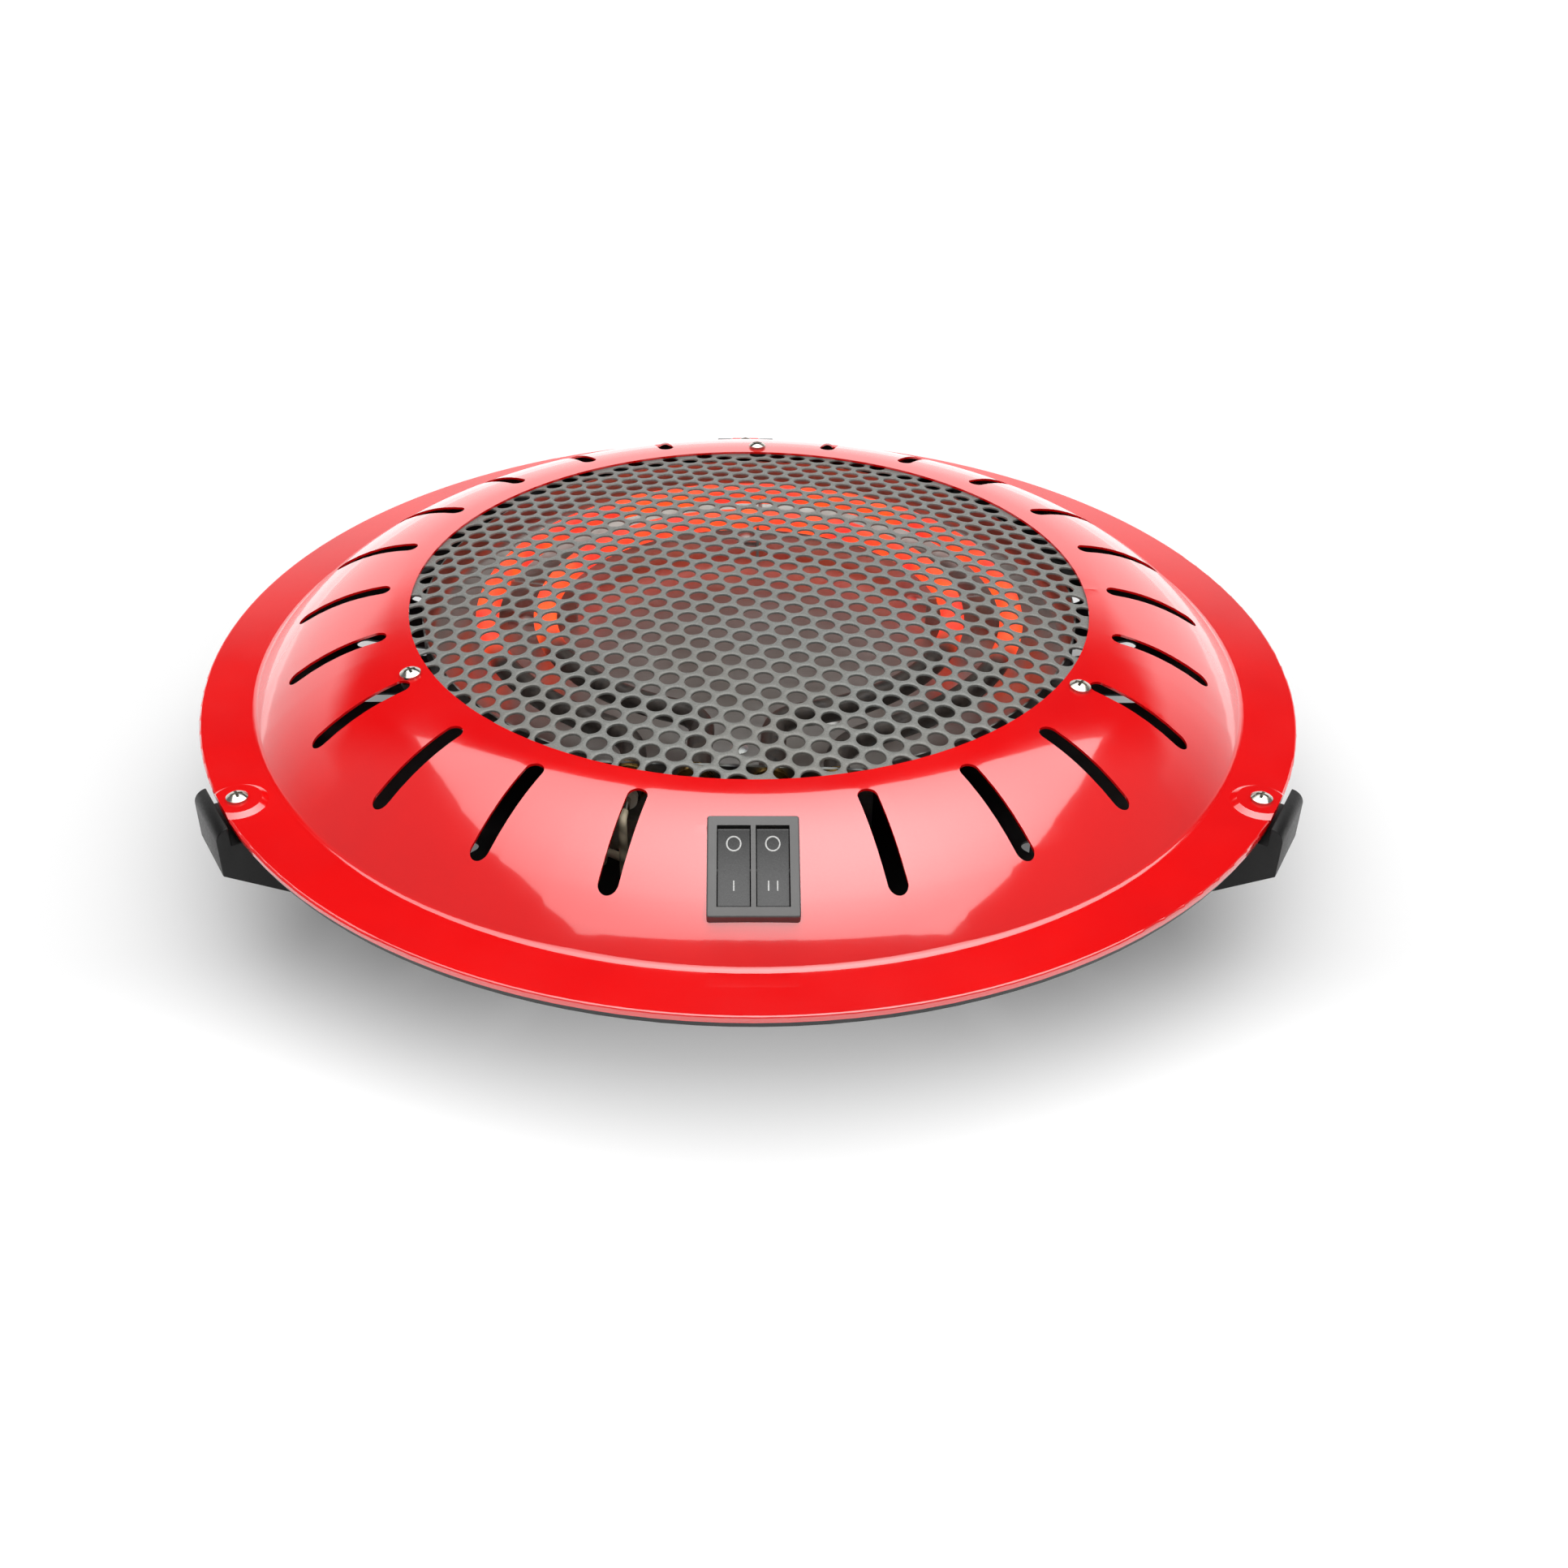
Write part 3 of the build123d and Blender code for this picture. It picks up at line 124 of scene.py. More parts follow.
def blank(name: str) -> bpy.types.Material:
    """A new material with an empty node tree."""
    made = bpy.data.materials.new(name)
    made.use_nodes = True
    made.node_tree.nodes.clear()
    return made


def fade(
    tree: bpy.types.NodeTree,
    place: bpy.types.NodeSocket,
    along: str | None,
    reach: tuple[float, float],
    levels: tuple[float, float],
) -> bpy.types.NodeSocket:
    """A level that changes smoothly along an axis, or with the distance from the origin.

    Args:
        tree: the node tree to work in.
        place: the vector that the level follows.
        along: X, Y or Z, or None for the distance.
        reach: where the change starts and ends.
        levels: the levels before and after it.

    Returns:
        The level.
    """
    if along:
        value = add_node(tree, "ShaderNodeSeparateXYZ", links={"Vector": place}).outputs[along]
    else:
        value = add_node(
            tree, "ShaderNodeVectorMath", settings={"operation": "LENGTH"}, links={0: place}
        ).outputs["Value"]
    return add_node(
        tree,
        "ShaderNodeMapRange",
        settings={"interpolation_type": "SMOOTHSTEP"},
        inputs=dict(zip(RANGES, (*reach, *levels))),
        links={"Value": value},
    ).outputs["Result"]


def pick(obj: bpy.types.Object) -> None:
    """Select one object alone and make it the active one."""
    bpy.ops.object.select_all(action="DESELECT")
    bpy.context.view_layer.objects.active = obj
    obj.select_set(True)


def smooth(obj: bpy.types.Object, angle: float) -> None:
    """Shade an object smooth up to an angle in degrees."""
    pick(obj)
    bpy.ops.object.shade_smooth_by_angle(angle=math.radians(angle))


def begin(obj: bpy.types.Object) -> None:
    """Enter edit mode on one object with all of its mesh selected."""
    pick(obj)
    bpy.ops.object.mode_set(mode="EDIT")
    bpy.ops.mesh.select_mode(type="VERT")
    bpy.ops.mesh.select_all(action="SELECT")


def end() -> None:
    """Leave edit mode."""
    bpy.ops.object.mode_set(mode="OBJECT")


def settle(obj: bpy.types.Object) -> None:
    """Put an object's place, turn and scale into its mesh."""
    obj.data.transform(obj.matrix_basis)
    obj.matrix_basis = Matrix.Identity(4)


def apply_modifier(obj: bpy.types.Object, kind: str, **settings: object) -> None:
    """Add a modifier with its settings and apply it.

    Args:
        obj: the object to shape.
        kind: the modifier's type name.
        settings: attribute values of the modifier.
    """
    pick(obj)
    modifier = obj.modifiers.new(kind.title(), kind)
    for key, value in settings.items():
        setattr(modifier, key, value)
    bpy.ops.object.modifier_apply(modifier=modifier.name)


def coordinates(obj: bpy.types.Object) -> np.ndarray:
    """The places of a mesh's vertices as rows of x, y and z."""
    flat = np.empty(len(obj.data.vertices) * 3)
    obj.data.vertices.foreach_get("co", flat)
    return flat.reshape(-1, 3)


# finishes

# the spans of noise that a mottle spreads out: its middle, its inner part, its upper part or all
MIDDLE = (0.3, 0.7)
INNER = (0.42, 0.58)
UPPER = (0.5, 0.7)
WHOLE = (0.0, 1.0)


@dataclass(frozen=True)
class Finish(ABC):
    """A surface finish, with the record's material slot that it stands for."""

    name: str
    slot: str
    colours: tuple[str, str]

    @abstractmethod
    def shade(self, tree: bpy.types.NodeTree, shader: bpy.types.Node) -> None:
        """Set and link the shader's sockets.

        Args:
            tree: the material's node tree.
            shader: its Principled BSDF node.
        """

    def material(self) -> bpy.types.Material:
        """The finish's material, made once."""
        found = bpy.data.materials.get(self.name)
        if found:
            return found
        made = blank(self.name)
        tree = made.node_tree
        shader = add_node(tree, "ShaderNodeBsdfPrincipled")
        add_node(tree, "ShaderNodeOutputMaterial", links={"Surface": shader.outputs["BSDF"]})
        self.shade(tree, shader)
        return made

    def mottle(
        self,
        tree: bpy.types.NodeTree,
        size_mm: float,
        result: tuple[float, float] = (0.0, 1.0),
        detail: float = 2.0,
        stretch: tuple[float, float, float] = (1.0, 1.0, 1.0),
        span: tuple[float, float] = MIDDLE,
    ) -> bpy.types.NodeSocket:
        """A cloudy value on the piece's own coordinates.

        Args:
            tree: the material's node tree.
            size_mm: the size of its clouds in millimetres.
            result: the values at its dark and bright spots.
            detail: how many finer layers it has.
            stretch: how much the pattern is squeezed along each axis.
            span: the part of the noise that is spread over the result.

        Returns:
            The value.
        """
        place = add_node(tree, "ShaderNodeTexCoord").outputs["Object"]
        squeezed = add_node(
            tree, "ShaderNodeMapping", inputs={"Scale": stretch}, links={"Vector": place}
        ).outputs["Vector"]
        noise = add_node(
            tree,
            "ShaderNodeTexNoise",
            inputs={"Scale": per_metre(size_mm), "Detail": detail},
            links={"Vector": squeezed},
        ).outputs["Fac"]
        return add_node(
            tree,
            "ShaderNodeMapRange",
            inputs=dict(zip(RANGES, (*span, *result))),
            links={"Value": noise},
        ).outputs["Result"]

    def surface(
        self,
        tree: bpy.types.NodeTree,
        shader: bpy.types.Node,
        share: bpy.types.NodeSocket,
        roughness: bpy.types.NodeSocket,
        height: bpy.types.NodeSocket,
        depth_mm: float,
    ) -> None:
        """Give the shader the finish's two colours, a roughness and a relief.

        Args:
            tree: the material's node tree.
            shader: the shader that takes them.
            share: the share of the second colour.
            roughness: the roughness.
            height: the relief's height from 0 to 1.
            depth_mm: the height of 1 in millimetres.
        """
        mixed = add_node(
            tree,
            "ShaderNodeMix",
            settings={"data_type": "RGBA"},
            inputs={6: linear(self.colours[0]), 7: linear(self.colours[1])},
            links={0: share},
        ).outputs[2]
        relief = add_node(
            tree, "ShaderNodeBump", inputs={"Distance": depth_mm * MM}, links={"Height": height}
        ).outputs["Normal"]
        tree.links.new(mixed, shader.inputs["Base Color"])
        tree.links.new(roughness, shader.inputs["Roughness"])
        tree.links.new(relief, shader.inputs["Normal"])


@dataclass(frozen=True)
class StoveEnamel(Finish):
    """Sprayed and stoved gloss enamel on pressed steel: deep colour under a wet gloss, whose slight
    orange peel ruffles the edges of each reflection."""

    colours: tuple[str, str] = ("#F00507", "#E4060C")
    cloud_mm: float = 55.0
    gloss: tuple[float, float] = (0.13, 0.18)
    haze_mm: float = 24.0
    index: float = 1.52
    coat_roughness: float = 0.05
    coat_index: float = 1.75
    peel_mm: float = 1.7
    peel_depth_mm: float = 0.012

    def shade(self, tree: bpy.types.NodeTree, shader: bpy.types.Node) -> None:
        """Cloudy colour, a near-even gloss and orange peel under a clear coat."""
        cloud = self.mottle(tree, self.cloud_mm, detail=3.0)
        haze = self.mottle(tree, self.haze_mm, self.gloss, 4.0)
        peel = self.mottle(tree, self.peel_mm, detail=1.5, span=WHOLE)
        self.surface(tree, shader, cloud, haze, peel, self.peel_depth_mm)
        shader.inputs["IOR"].default_value = self.index
        shader.inputs["Coat Weight"].default_value = 1.0
        shader.inputs["Coat Roughness"].default_value = self.coat_roughness
        shader.inputs["Coat IOR"].default_value = self.coat_index


@dataclass(frozen=True)
class SatinCoating(Finish):
    """Thin silver-grey heat-proof paint on perforated steel: an even satin with a fine grain of
    flakes and a faint browning where it has been hot."""

    colours: tuple[str, str] = ("#7F817E", "#6C6E6B")
    heated: str = "#757068"
    # flakes are far finer than this, and are drawn so coarse that the grain still shows
    flake_mm: float = 0.5
    warm_mm: float = 48.0
    warmth: float = 0.45
    gloss: tuple[float, float] = (0.42, 0.56)
    depth_mm: float = 0.005
    metal: float = 0.25

    def shade(self, tree: bpy.types.NodeTree, shader: bpy.types.Node) -> None:
        """Fine flakes that break the gloss, with a warmer tone in patches."""
        grain = self.mottle(tree, self.flake_mm, detail=1.0)
        gloss = self.mottle(tree, self.flake_mm, self.gloss, 1.0)
        height = self.mottle(tree, self.flake_mm, detail=1.0, span=WHOLE)
        self.surface(tree, shader, grain, gloss, height, self.depth_mm)
        # the flakes' colour is warmed in patches
        flakes = shader.inputs["Base Color"].links[0].from_socket
        patches = self.mottle(tree, self.warm_mm, (0.0, self.warmth))
        both = add_node(
            tree,
            "ShaderNodeMix",
            settings={"data_type": "RGBA"},
            inputs={7: linear(self.heated)},
            links={0: patches, 6: flakes},
        ).outputs[2]
        tree.links.new(both, shader.inputs["Base Color"])
        shader.inputs["Metallic"].default_value = self.metal


@dataclass(frozen=True)
class BlackEnamel(Finish):
    """Satin black enamel on the pressed pan: nearly black, with soft wide highlights and a fine
    ripple from spraying."""

    colours: tuple[str, str] = ("#0B0B0C", "#1B1A19")
    dust_mm: float = 18.0
    dustiness: float = 0.6
    gloss: tuple[float, float] = (0.3, 0.39)
    ripple_mm: float = 1.2
    ripple_depth_mm: float = 0.01

    def shade(self, tree: bpy.types.NodeTree, shader: bpy.types.Node) -> None:
        """Almost even black, a little dusty, over a fine ripple."""
        dust = self.mottle(tree, self.dust_mm, (0.0, self.dustiness), 5.0)
        gloss = self.mottle(tree, self.dust_mm, self.gloss, 5.0, span=UPPER)
        ripple = self.mottle(tree, self.ripple_mm, span=WHOLE)
        self.surface(tree, shader, dust, gloss, ripple, self.ripple_depth_mm)


@dataclass(frozen=True)
class MouldedPlastic(Finish):
    """Injection-moulded thermoplastic from a spark-eroded mould: a fine even texture that turns
    highlights into a soft sheen."""

    colours: tuple[str, str] = ("#0E0E0F", "#161616")
    roughness: float = 0.42
    texture_mm: float = 0.7
    texture_depth_mm: float = 0.02
    softness: float = 0.0
    index: float = 1.5
    flow_mm: float = 22.0
    flow_stretch: tuple[float, float, float] = (1.0, 1.0, 2.5)

    def shade(self, tree: bpy.types.NodeTree, shader: bpy.types.Node) -> None:
        """Slight flow marks in the colour, and the mould's texture in the gloss and the relief."""
        flow = self.mottle(tree, self.flow_mm, detail=3.0, stretch=self.flow_stretch)
        sheen = self.mottle(tree, self.texture_mm, (self.roughness - 0.05, self.roughness + 0.07))
        grain = self.mottle(tree, self.texture_mm, span=WHOLE)
        self.surface(tree, shader, flow, sheen, grain, self.texture_depth_mm)
        shader.inputs["IOR"].default_value = self.index
        if self.softness:
            shader.inputs["Subsurface Weight"].default_value = self.softness
            shader.inputs["Subsurface Scale"].default_value = 0.8 * MM


@dataclass(frozen=True)
class PlatedSteel(Finish):
    """Plated steel: nickel is a warm mirror, zinc a duller and bluer one, both with handling marks
    that vary the gloss."""

    colours: tuple[str, str] = ("#D8D5CE", "#B9B4A8")
    gloss: tuple[float, float] = (0.14, 0.26)
    mark_mm: float = 2.2
    pit_mm: float = 0.6
    pit_depth_mm: float = 0.003

    def shade(self, tree: bpy.types.NodeTree, shader: bpy.types.Node) -> None:
        """Patchy plating with a gloss that changes from place to place."""
        patch = self.mottle(tree, self.mark_mm, detail=4.0)
        gloss = self.mottle(tree, self.mark_mm, self.gloss, 4.0, span=INNER)
        pits = self.mottle(tree, self.pit_mm, span=WHOLE)
        self.surface(tree, shader, patch, gloss, pits, self.pit_depth_mm)
        shader.inputs["Metallic"].default_value = 1.0


@dataclass(frozen=True)
class RolledAluminium(Finish):
    """Rolled aluminium sheet: a soft mirror, drawn out along the rolling direction, that picks up
    the colour of the elements."""

    colours: tuple[str, str] = ("#A9A9A6", "#8E8A83")
    stain_mm: float = 30.0
    staining: float = 0.8
    # rolling lines are some 0.05 mm apart, and are drawn this coarse so that they show
    line_mm: float = 0.6
    line_stretch: tuple[float, float, float] = (0.02, 1.0, 1.0)
    line_depth_mm: float = 0.004
    gloss: tuple[float, float] = (0.34, 0.46)

    def shade(self, tree: bpy.types.NodeTree, shader: bpy.types.Node) -> None:
        """Rolling lines along X, and a faint heat stain."""
        stain = self.mottle(tree, self.stain_mm, (0.0, self.staining), 4.0)
        gloss = self.mottle(tree, self.line_mm, self.gloss, stretch=self.line_stretch)
        lines = self.mottle(tree, self.line_mm, stretch=self.line_stretch, span=WHOLE)
        self.surface(tree, shader, stain, gloss, lines, self.line_depth_mm)
        shader.inputs["Metallic"].default_value = 1.0


@dataclass(frozen=True)
class HotSheath(Finish):
    """Oxidised steel sheath of a tubular element: dull and almost black where the legs stay cold,
    glowing orange over the rings."""

    colours: tuple[str, str] = ("#2B2725", "#4A423C")
    oxide_mm: float = 2.5
    gloss: tuple[float, float] = (0.42, 0.62)
    glows: tuple[str, str] = ("#EE5018", "#DE2A22")
    streak_mm: float = 14.0
    glow_from_mm: float = -44.0
    glow_full_mm: float = -24.0
    strength: float = 1.6
    grain_mm: float = 1.1
    grain_depth_mm: float = 0.02
    metal: float = 0.35

    def shade(self, tree: bpy.types.NodeTree, shader: bpy.types.Node) -> None:
        """Scaled oxide, and a glow that comes up along Y."""
        oxide = self.mottle(tree, self.oxide_mm, detail=5.0)
        gloss = self.mottle(tree, self.oxide_mm, self.gloss, 5.0, span=INNER)
        grain = self.mottle(tree, self.grain_mm, detail=3.0, span=WHOLE)
        self.surface(tree, shader, oxide, gloss, grain, self.grain_depth_mm)
        shader.inputs["Metallic"].default_value = self.metal
        place = add_node(tree, "ShaderNodeTexCoord").outputs["Object"]
        reach = (self.glow_from_mm * MM, self.glow_full_mm * MM)
        heat = fade(tree, place, "Y", reach, (0.0, self.strength))
        streaks = add_node(
            tree,
            "ShaderNodeMix",
            settings={"data_type": "RGBA"},
            inputs={6: linear(self.glows[0]), 7: linear(self.glows[1])},
            links={0: self.mottle(tree, self.streak_mm, detail=3.0)},
        ).outputs[2]
        tree.links.new(streaks, shader.inputs["Emission Color"])
        tree.links.new(heat, shader.inputs["Emission Strength"])


@dataclass(frozen=True)
class FiredCeramic(Finish):
    """Unglazed steatite: off-white and chalky, with pinholes and a faint scorch."""

    colours: tuple[str, str] = ("#E8E2D4", "#CDBFA6")
    scorch_mm: float = 4.0
    gloss: tuple[float, float] = (0.6, 0.64)
    grain_mm: float = 0.5
    grain_depth_mm: float = 0.02

    def shade(self, tree: bpy.types.NodeTree, shader: bpy.types.Node) -> None:
        """Scorched patches over a granular surface."""
        patch = self.mottle(tree, self.scorch_mm, detail=4.0)
        gloss = self.mottle(tree, self.scorch_mm, self.gloss, 4.0)
        grain = self.mottle(tree, self.grain_mm, detail=3.0, span=WHOLE)
        self.surface(tree, shader, patch, gloss, grain, self.grain_depth_mm)


@dataclass(frozen=True)
class TurnedBrass(Finish):
    """Plain brass, turned or stamped: yellow, with tool lines round it and dull spots."""

    colours: tuple[str, str] = ("#C9A45C", "#9C7A41")
    spot_mm: float = 3.0
    gloss: tuple[float, float] = (0.2, 0.4)
    tool_mm: float = 0.4
    tool_stretch: tuple[float, float, float] = (0.1, 1.0, 1.0)
    tool_depth_mm: float = 0.004

    def shade(self, tree: bpy.types.NodeTree, shader: bpy.types.Node) -> None:
        """Dull spots over a bright metal with tool lines."""
        spots = self.mottle(tree, self.spot_mm, detail=4.0)
        gloss = self.mottle(tree, self.spot_mm, self.gloss, 4.0, span=INNER)
        lines = self.mottle(tree, self.tool_mm, detail=1.0, stretch=self.tool_stretch, span=WHOLE)
        self.surface(tree, shader, spots, gloss, lines, self.tool_depth_mm)
        shader.inputs["Metallic"].default_value = 1.0


@dataclass(frozen=True)
class BraidedSleeve(Finish):
    """Varnished glass-fibre sleeving over a lead: a cream braid of crossing strands."""

    colours: tuple[str, str] = ("#8B8069", "#D9CDB0")
    # strands are some 0.9 mm wide, and are drawn coarser so that they show through the slots
    strand_mm: float = 5.655
    slants: tuple[float, float] = (45.0, -45.0)
    gloss: tuple[float, float] = (0.58, 0.62)
    varnish_mm: float = 6.0
    depth_mm: float = 0.08

    def shade(self, tree: bpy.types.NodeTree, shader: bpy.types.Node) -> None:
        """Two waves that cross at a slant make the braid."""
        place = add_node(tree, "ShaderNodeTexCoord").outputs["Object"]
        waves = []
        for slant in self.slants:
            turned = add_node(
                tree,
                "ShaderNodeMapping",
                inputs={"Rotation": (math.radians(slant),) * 3},
                links={"Vector": place},
            ).outputs["Vector"]
            wave = add_node(
                tree,
                "ShaderNodeTexWave",
                inputs={"Scale": bands_per_metre(self.strand_mm), "Distortion": 0.4},
                links={"Vector": turned},
            )
            waves.append(wave.outputs["Fac"])
        braid = add_node(
            tree, "ShaderNodeMath", settings={"operation": "MAXIMUM"}, links=dict(enumerate(waves))
        ).outputs["Value"]
        gloss = self.mottle(tree, self.varnish_mm, self.gloss)
        self.surface(tree, shader, braid, gloss, braid, self.depth_mm)


@dataclass(frozen=True)
class PrintedMark(Finish):
    """White pad-printing ink: a thin opaque film, a little chalkier than the plastic under it."""

    colours: tuple[str, str] = ("#D4D4D2", "#B4B4B2")
    thin_mm: float = 0.5
    gloss: tuple[float, float] = (0.48, 0.52)
    depth_mm: float = 0.001

    def shade(self, tree: bpy.types.NodeTree, shader: bpy.types.Node) -> None:
        """Ink that is a little thin in places."""
        patch = self.mottle(tree, self.thin_mm)
        gloss = self.mottle(tree, self.thin_mm, self.gloss)
        self.surface(tree, shader, patch, gloss, patch, self.depth_mm)


RED_ENAMEL = StoveEnamel("gloss_red_stove_enamel", "red_enamel")
GREY_COATING = SatinCoating("satin_grey_heatproof_coating", "grey_enamel")
PAN_ENAMEL = BlackEnamel("satin_black_enamel", "black_enamel")
FOOT_PLASTIC = MouldedPlastic(
    "spark_textured_black_polypropylene", "black_moulding", ("#070707", "#0D0D0D"), index=1.36
)
SWITCH_PLASTIC = MouldedPlastic(
    "satin_grey_black_polyamide", "switch_moulding", ("#4B4A49", "#545352"), 0.38, 0.45, 0.008
)
ROCKER_PLASTIC = MouldedPlastic(
    "semi_gloss_black_polycarbonate", "rocker_moulding", ("#151515", "#1B1B1B"), 0.3, 0.5, 0.004
)
WHITE_PLASTIC = MouldedPlastic(
    "natural_white_polyamide", "white_moulding", ("#E4DFD0", "#D8D2C0"), 0.48, 0.6, 0.01, 0.15
)
NICKEL = PlatedSteel("bright_nickel_plated_steel", "nickel")
ZINC = PlatedSteel(
    "dull_zinc_plated_steel", "zinc_steel", ("#B8BDC2", "#A4A59C"), (0.3, 0.46), 5.0
)
ALUMINIUM = RolledAluminium("bright_rolled_aluminium", "bright_aluminium")
OUTER_SHEATH = HotSheath("glowing_outer_element_sheath", "element_sheath")
INNER_SHEATH = HotSheath(
    "glowing_inner_element_sheath", "element_sheath", glow_from_mm=-36.0, glow_full_mm=-14.0
)
CERAMIC = FiredCeramic("unglazed_steatite_ceramic", "bead_ceramic")
BRASS = TurnedBrass("plain_turned_brass", "brass")
SLEEVE = BraidedSleeve("varnished_glass_fibre_sleeve", "lead_sleeve")
INK = PrintedMark("white_pad_printing_ink", "rocker_moulding")


# sub-assemblies


class SubAssembly:
    """A group of pieces with the finishes of its nodes."""

    finishes: dict[str, Finish] = {}

    def dress(self) -> None:
        """Give each CAD node of the group its material."""
        for name, finish in self.finishes.items():
            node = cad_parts[name]
            if not node.material_slots:
                node.data.materials.append(finish.material())
            for place in node.material_slots:
                place.material = finish.material()
            LOG.info("dressed %s in %s", name, finish.name)

    def build(self) -> None:
        """Model the group's own pieces, of which many have none."""

    def keep(self, obj: bpy.types.Object, name: str, finish: Finish, body: Body) -> bpy.types.Object:
        """Name and dress a new piece and let it ride on its body.

        Args:
            obj: the piece, with its place in its mesh.
            name: the name of the piece.
            finish: its finish.
            body: the body that carries it.

        Returns:
            The piece.
        """
        obj.name = name
        obj.data.name = name
        obj.data.materials.clear()
        obj.data.materials.append(finish.material())
        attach(obj, body.value)
        LOG.info("built %s with %d faces", name, len(obj.data.polygons))
        return obj


@dataclass
class Cover(SubAssembly):
    """The red domed cover with its screws and spacers."""

    finishes: dict = field(
        default_factory=lambda: {
            "top_cover": RED_ENAMEL,
            "rim_screws": NICKEL,
            "boss_spacers": ZINC,
            "grille_screws": NICKEL,
        }
    )


@dataclass
class Grille(SubAssembly):
    """The domed sheet of staggered holes inside the cover's opening."""

    finishes: dict = field(default_factory=lambda: {"grille": GREY_COATING, "grille_nuts": ZINC})
    pitch: float = 8.25 * MM
    hole_radius: float = 3.2 * MM
    hole_sides: int = 24
    turn: float = math.radians(-14.4)
    holes_to: float = 118.6 * MM
    edge_radius: float = 121.5 * MM
    knee_radius: float = 116.5 * MM
    crown: float = 90.0 * MM
    sheet: float = 0.8 * MM
    # the sheet's edge runs on inside the cover, at the cover's own curve
    skirt_depth: float = 0.9 * MM
    hole_round: float = 0.16 * MM
    # the cover's crease and opening, the dome's rise and bulge between them, and the flange's top
    crease_radius: float = 171.5 * MM
    opening_radius: float = 117.5 * MM
    dome_rise: float = 26.1 * MM
    dome_bulge: float = 6.5 * MM
    flange_top: float = 57.0 * MM
    # points this close are one, while the cells are joined and again at the trimmed edge
    weld: float = 0.02 * MM
    edge_weld: float = 0.15 * MM
    sliver: float = 0.05 * MM
    # cells that come this near to the edge are cut off
    edge_spare: float = 0.4 * MM

    def __post_init__(self) -> None:
        """Work out the dome's exact curve from the cover's own sizes."""
        run = self.crease_radius - self.opening_radius
        chord = math.hypot(run, self.dome_rise)
        self.dome_curve = chord**2 / (8 * self.dome_bulge) + self.dome_bulge / 2
        off = self.dome_curve - self.dome_bulge
        self.dome_centre = (
            (self.crease_radius + self.opening_radius) / 2 - self.dome_rise / chord * off,
            self.flange_top + self.dome_rise / 2 - run / chord * off,
        )

    def dome(self, radius: np.ndarray | float) -> np.ndarray | float:
        """Height of the sheet's outer face where it follows the cover."""
        curve = self.dome_curve - self.skirt_depth
        return self.dome_centre[1] + np.sqrt(curve**2 - (radius - self.dome_centre[0]) ** 2)

    def height(self, radius: np.ndarray) -> np.ndarray:
        """Height of the sheet's outer face at a radius from the axis."""
        drop = self.crown - float(self.dome(self.knee_radius))
        curve = (self.knee_radius**2 + drop**2) / (2 * drop)
        cap = self.crown - curve + np.sqrt(curve**2 - np.minimum(radius, self.knee_radius) ** 2)
        return np.where(radius <= self.knee_radius, cap, self.dome(np.maximum(radius, self.knee_radius)))

    def build(self) -> None:
        """Array one pair of cells, trim and dome it, and give it its thickness."""
        sheet = self.cells()
        self.close_outer_holes(sheet)
        self.trim(sheet)
        self.raise_dome(sheet)
        self.thicken(sheet)
        self.keep(sheet, "perforated_grille", GREY_COATING, Body.HEATER)
        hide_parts("grille")

    def cells(self) -> bpy.types.Object:
        """Two hexagonal cells with round holes, repeated along both sides of the sheet."""
        rows = math.ceil(self.edge_radius / (self.pitch * math.sqrt(3))) + 1
        columns = math.ceil(self.edge_radius / self.pitch) + 1
        corner = (-columns * self.pitch, -rows * self.pitch * math.sqrt(3), 0.0)
        bpy.ops.object.select_all(action="DESELECT")
        bpy.ops.mesh.primitive_circle_add(vertices=6, radius=self.pitch / math.sqrt(3), location=corner)
        sheet = bpy.context.object
        begin(sheet)
        bpy.ops.mesh.subdivide(number_cuts=self.hole_sides // 6 - 1)
        bpy.ops.mesh.select_all(action="DESELECT")
        bpy.ops.mesh.primitive_circle_add(
            vertices=self.hole_sides, radius=self.hole_radius, location=corner
        )
        bpy.ops.mesh.select_all(action="SELECT")
        bpy.ops.mesh.bridge_edge_loops()
        bpy.ops.mesh.select_all(action="SELECT")
        bpy.ops.mesh.duplicate_move(
            TRANSFORM_OT_translate={"value": (self.pitch / 2, self.pitch * math.sqrt(3) / 2, 0.0)}
        )
        end()
        settle(sheet)
        for count, step in (
            (2 * columns + 1, (self.pitch, 0.0, 0.0)),
            (2 * rows + 1, (0.0, self.pitch * math.sqrt(3), 0.0)),
        ):
            apply_modifier(
                sheet,
                "ARRAY",
                count=count,
                use_relative_offset=False,
                use_constant_offset=True,
                constant_offset_displace=step,
            )
        begin(sheet)
        bpy.ops.mesh.remove_doubles(threshold=self.weld)
        end()
        return sheet

    def close_outer_holes(self, sheet: bpy.types.Object) -> None:
        """Fill the holes outside the perforated part, and turn the pattern to its angle.

        Args:
            sheet: the flat sheet of cells.
        """
        spots = coordinates(sheet)
        basis = self.pitch * np.array([[1.0, 0.0], [0.5, math.sqrt(3) / 2]])
        share = np.linalg.solve(basis.T, spots[:, :2].T).T
        best = np.full(len(spots), np.inf)
        centre = np.zeros((len(spots), 2))
        for step in ((0, 0), (1, 0), (0, 1), (1, 1)):
            spot = (np.floor(share) + step) @ basis
            gap = np.hypot(*(spots[:, :2] - spot).T)
            centre[gap < best] = spot[gap < best]
            best = np.minimum(best, gap)
        rim = (best < self.hole_radius + self.sliver) & (np.hypot(*centre.T) > self.holes_to)
        begin(sheet)
        bpy.ops.mesh.select_all(action="DESELECT")
        end()
        sheet.data.vertices.foreach_set("select", rim)
        bpy.ops.object.mode_set(mode="EDIT")
        bpy.ops.mesh.fill_holes(sides=self.hole_sides)
        end()
        sheet.data.transform(Matrix.Rotation(self.turn, 4, "Z"))

